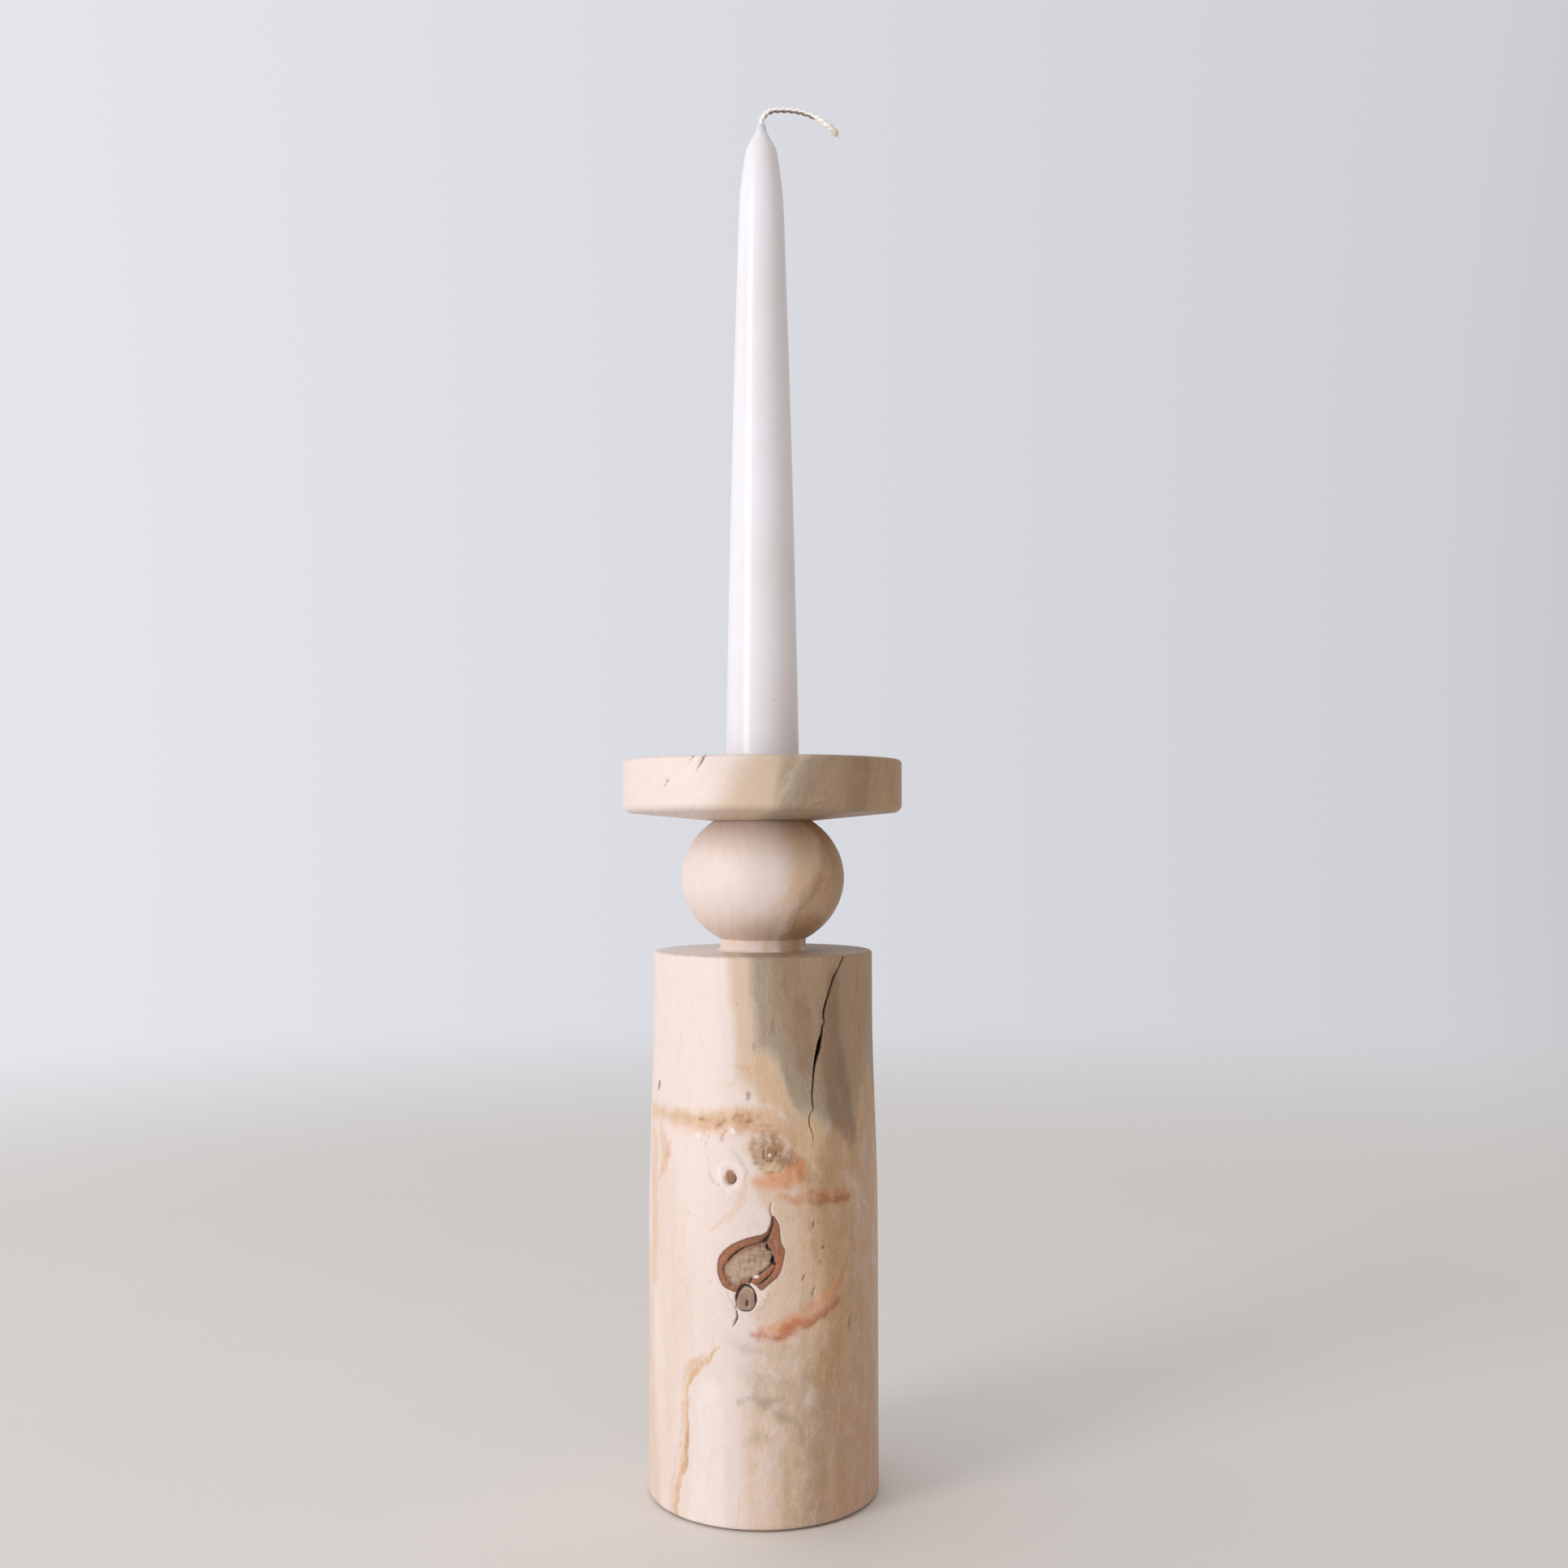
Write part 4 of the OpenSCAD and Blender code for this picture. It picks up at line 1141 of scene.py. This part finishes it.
def braidTree():
    # Geometry in is the wick's path. Strands cross each other in a flat plait along it.
    tree, given, add = newTree("braidedWick", Strands="Int", Strand_Radius="Float",
                               Half_Width="Float", Half_Thickness="Float", Pitch="Float",
                               Step="Float")
    path = add("MeshToCurve", {"Mesh": given["Geometry"]})
    even = add("ResampleCurve", {"Curve": path, "Length": given["Step"]}, mode="LENGTH")
    copies = add("DuplicateElements", {"Geometry": even, "Amount": given["Strands"]}, None,
                 domain="SPLINE")
    reach = add("SplineParameter", output=None)
    side, ahead = add("InputNormal"), add("InputTangent")
    face = add("VectorMath.CROSS_PRODUCT", (side, ahead))
    phase = add("Math.DIVIDE", (math.tau, given["Strands"]))
    own = add("Math.MULTIPLY", (copies["Duplicate Index"], phase))
    cycles = add("Math.DIVIDE", (reach["Length"], given["Pitch"]))
    angle = add("Math.MULTIPLY_ADD", (cycles, math.tau, own))
    # one swing across for two through the thickness
    swing = add("Math.SINE", (angle,))
    cross = add("Math.SINE", (add("Math.MULTIPLY", (angle, 2.0)),))
    wide = add("Math.MULTIPLY", (swing, given["Half Width"]))
    thick = add("Math.MULTIPLY", (cross, given["Half Thickness"]))
    both = add("VectorMath.ADD", (add("VectorMath.SCALE", {0: face, "Scale": wide}),
                                  add("VectorMath.SCALE", {0: side, "Scale": thick})))
    kept = add("StoreNamedAttribute", {"Geometry": copies[0], "Name": "along",
                                       "Value": reach["Factor"]},
               data_type="FLOAT", domain="POINT")
    moved = add("SetPosition", {"Geometry": kept, "Offset": both})
    ring = add("CurvePrimitiveCircle", {"Resolution": 10, "Radius": given["Strand Radius"]})
    tube = add("CurveToMesh", {"Curve": moved, "Profile Curve": ring, "Fill Caps": True})
    return endTree(tree, given, tube)


def wickPath():
    # the same route as the design's wick: up through the wax, a sharp bend, then a long curl
    bend, reach, curl, turnAngle, radius = 4.5, 2.5, 20.4, 51, 1.15
    top = boxMm("wick")[1][2] - radius
    level = top - bend
    straight = [(0, z) for z in np.arange(candleLow + 0.6, level - 0.5, 3.0)]
    return (straight + arc(bend, level, bend, 180, 90, 12)
            + arc(bend + reach, top - curl, curl, 90, 90 - turnAngle, 16))


path = wickPath()
wickMesh = grow(braidTree(), newLine(path), {
    "Strands": wickLook["strands"], "Strand Radius": wickLook["strand"] * mm,
    "Half Width": wickLook["wide"] * mm, "Half Thickness": wickLook["thick"] * mm,
    "Pitch": wickLook["pitch"] * mm, "Step": wickLook["step"] * mm, "Material": cotton})


def frayEnd(mesh, path, look):
    # loose fibres at the cut end, and the mark for the painted shade along the underside
    chance = random.Random(look["seed"])
    bm = bmesh.new()
    bm.from_mesh(mesh)
    end = Vector((path[-1][0], 0, path[-1][1]))
    ahead = (end - Vector((path[-2][0], 0, path[-2][1]))).normalized()
    across = Vector((0, 1, 0))
    up = ahead.cross(across)
    for _ in range(look["hairs"]):
        out = chance.uniform(0.1, 0.8)
        turn = chance.uniform(0, math.tau)
        way = across * math.cos(turn) + up * math.sin(turn)
        start = end + way * out - ahead * 0.8
        length = look["hairLength"] * chance.uniform(0.5, 1.0)
        bend = way * chance.uniform(0.1, 0.9) + Vector((0, 0, -chance.uniform(0, 0.5)))
        rings = []
        for i in range(6):
            t = i / 5
            middle = start + ahead * (0.8 + length) * t + bend * t * t * length * 0.6
            r = look["hairRadius"] * (1 - 0.75 * t)
            rings.append([bm.verts.new((middle + (across * math.cos(a) + up * math.sin(a)) * r)
                                       * mm) for a in (0, 2.09, 4.19)])
        for a, b in zip(rings, rings[1:]):
            for i in range(3):
                bm.faces.new((a[i], a[(i + 1) % 3], b[(i + 1) % 3], b[i]))
        bm.faces.new(rings[0][::-1])
        bm.faces.new(rings[-1])
    bmesh.ops.recalc_face_normals(bm, faces=bm.faces)
    bm.to_mesh(mesh)
    bm.free()
    settle(mesh, 60)
    p = places(mesh)
    line = np.array(path, float)
    near = (p[:, None, 0] - line[None, :, 0]) ** 2 + (p[:, None, 2] - line[None, :, 1]) ** 2
    below = line[near.argmin(1), 1] - p[:, 2]
    swell = look["swell"] * np.clip((p[:, 0] - look["swellFrom"]) / 2.0, 0, 1)
    p[:, 1] *= 1 + swell
    p[:, 2] -= swell * below
    setPlaces(mesh, p)
    shadedUnderside = (p[:, 0] > 0.9) & (p[:, 0] < look["swellFrom"])
    mark(mesh, "under", np.where(shadedUnderside, np.clip((below - 0.25) / 0.4, 0, 1), 0))


frayEnd(wickMesh, path, wickLook)
newPiece("braidedWick", wickMesh, "candle", "wick", cotton)
print("wick braided")


# ---- the cup, its screw, the dowel and the felt ----

def makeMetal(name, tone, dull, ringWidth):
    # brass spun or turned on a lathe: fine rings round the axis that stretch the shine
    material, tree, skin = newMaterial(name, Metallic=1.0)
    add = partial(addNode, tree)
    place = add("TexCoord", output="Object")
    split = add("SeparateXYZ", (place,), None)
    flat = add("CombineXYZ", (split["X"], split["Y"]))
    radius = add("VectorMath.LENGTH", (flat,), "Value")
    pitch = math.tau / (ringWidth * mm)
    groove = add("Math.MULTIPLY", (radius, pitch))
    height = add("Math.MULTIPLY_ADD", (split["Z"], pitch, groove))
    cloud, tint = mottle(tree, place, 160.0, 4.0, [(0.35, tone), (0.7, dull)])
    rough = add("MapRange", {"Value": cloud, "To Min": 0.22, "To Max": 0.42})
    dressSkin(tree, skin, tint, add("Math.SINE", (height,)), 0.15, 0.02, rough)
    return material


spunBrass = makeMetal("spunBrass", "#D9B45F", "#B98F43", 0.35)
turnedBrass = makeMetal("turnedBrass", "#C9A14F", "#96733A", 0.25)
cupLook = {"wall": 0.8, "bore": 11.3, "flange": 15.5, "flangeThick": 1.0, "depth": 20.0,
           "headRadius": 4.0, "headDepth": 0.8, "rowStep": 1.2, "segments": 160,
           "crowding": 0.0, "waver": 0.0, "waverSize": 20.0, "seed": 5.0}
(_, _, cupLow), (_, _, cupHigh) = boxMm("candle_cup")


def cupOutline():
    look = cupLook
    lip = look["flangeThick"] / 2
    outer = look["bore"] + look["wall"]
    floorTop = cupHigh - look["depth"]
    hole = look["headRadius"] - look["headDepth"]
    start = (hole, cupLow)
    return ([start, (outer, cupLow), (outer, cupHigh - look["flangeThick"])]
            + arc(look["flange"] - lip, cupHigh - lip, lip, -90, 90, 8)
            + arc(look["bore"] + 0.5, cupHigh - 0.5, 0.5, 90, 180, 4)
            + [(look["bore"], floorTop), (look["headRadius"], floorTop), start])


cupMesh = turn(cupOutline(), spunBrass, cupLook)
newPiece("brassCup", cupMesh, "stick", "candle_cup", spunBrass)


def dress(node, material):
    # gives a CAD node its material, in its object's own slots
    part = frame["nodes"][node]
    for slot in part.material_slots:
        slot.material = material


def makeBeech():
    # beech dowel: pinkish tan with short dark flecks along the grain
    material, tree, skin = newMaterial("flutedBeech", Roughness=0.7, IOR=1.48)
    place = addNode(tree, "TexCoord", output="Object")
    fleck, tint = mottle(tree, place, (2500, 2500, 350), 4.0,
                         [(0.35, "#A97B52"), (0.55, "#CDA57A")])
    dressSkin(tree, skin, tint, fleck, 0.4, 0.1)
    return material


def makeFelt():
    # pressed wool felt: matted fibres with no weave, matt and a little fuzzy
    material, tree, skin = newMaterial("pressedFelt", Roughness=0.95, Sheen_Weight=0.4,
                                       Sheen_Roughness=0.6)
    place = addNode(tree, "TexCoord", output="Object")
    mat = addNode(tree, "TexNoise", {"Vector": place, "Scale": 1800.0, "Detail": 6.0,
                                     "Distortion": 1.5})
    tint = addNode(tree, "ValToRGB", (mat,), stops=[(0.35, "#2C3A24"), (0.65, "#45573A")])
    dressSkin(tree, skin, tint, mat, 0.8, 0.15)
    return material


dress("cup_screw", turnedBrass)
dress("dowel", makeBeech())
felt = makeFelt()
(_, _, padLow), (padRadius, _, padHigh) = boxMm("base_pad")
padLook = {"lowerEdge": 0.4, "upperEdge": 0.3, "rowStep": 1.0, "segments": 200,
           "crowding": 0.0, "waver": 0.25, "waverSize": 300.0, "seed": 6.0}
low, high = padLook["lowerEdge"], padLook["upperEdge"]
padOutline = ([(0, padLow)] + arc(padRadius - low, padLow + low, low, -90, 0, 4)
              + arc(padRadius - high, padHigh - high, high, 0, 90, 4) + [(0, padHigh)])
padMesh = turn(padOutline, felt, padLook)
newPiece("feltPad", padMesh, "stick", "base_pad", felt)
print("cup, screw, dowel and felt dressed")


bpy.context.view_layer.update()
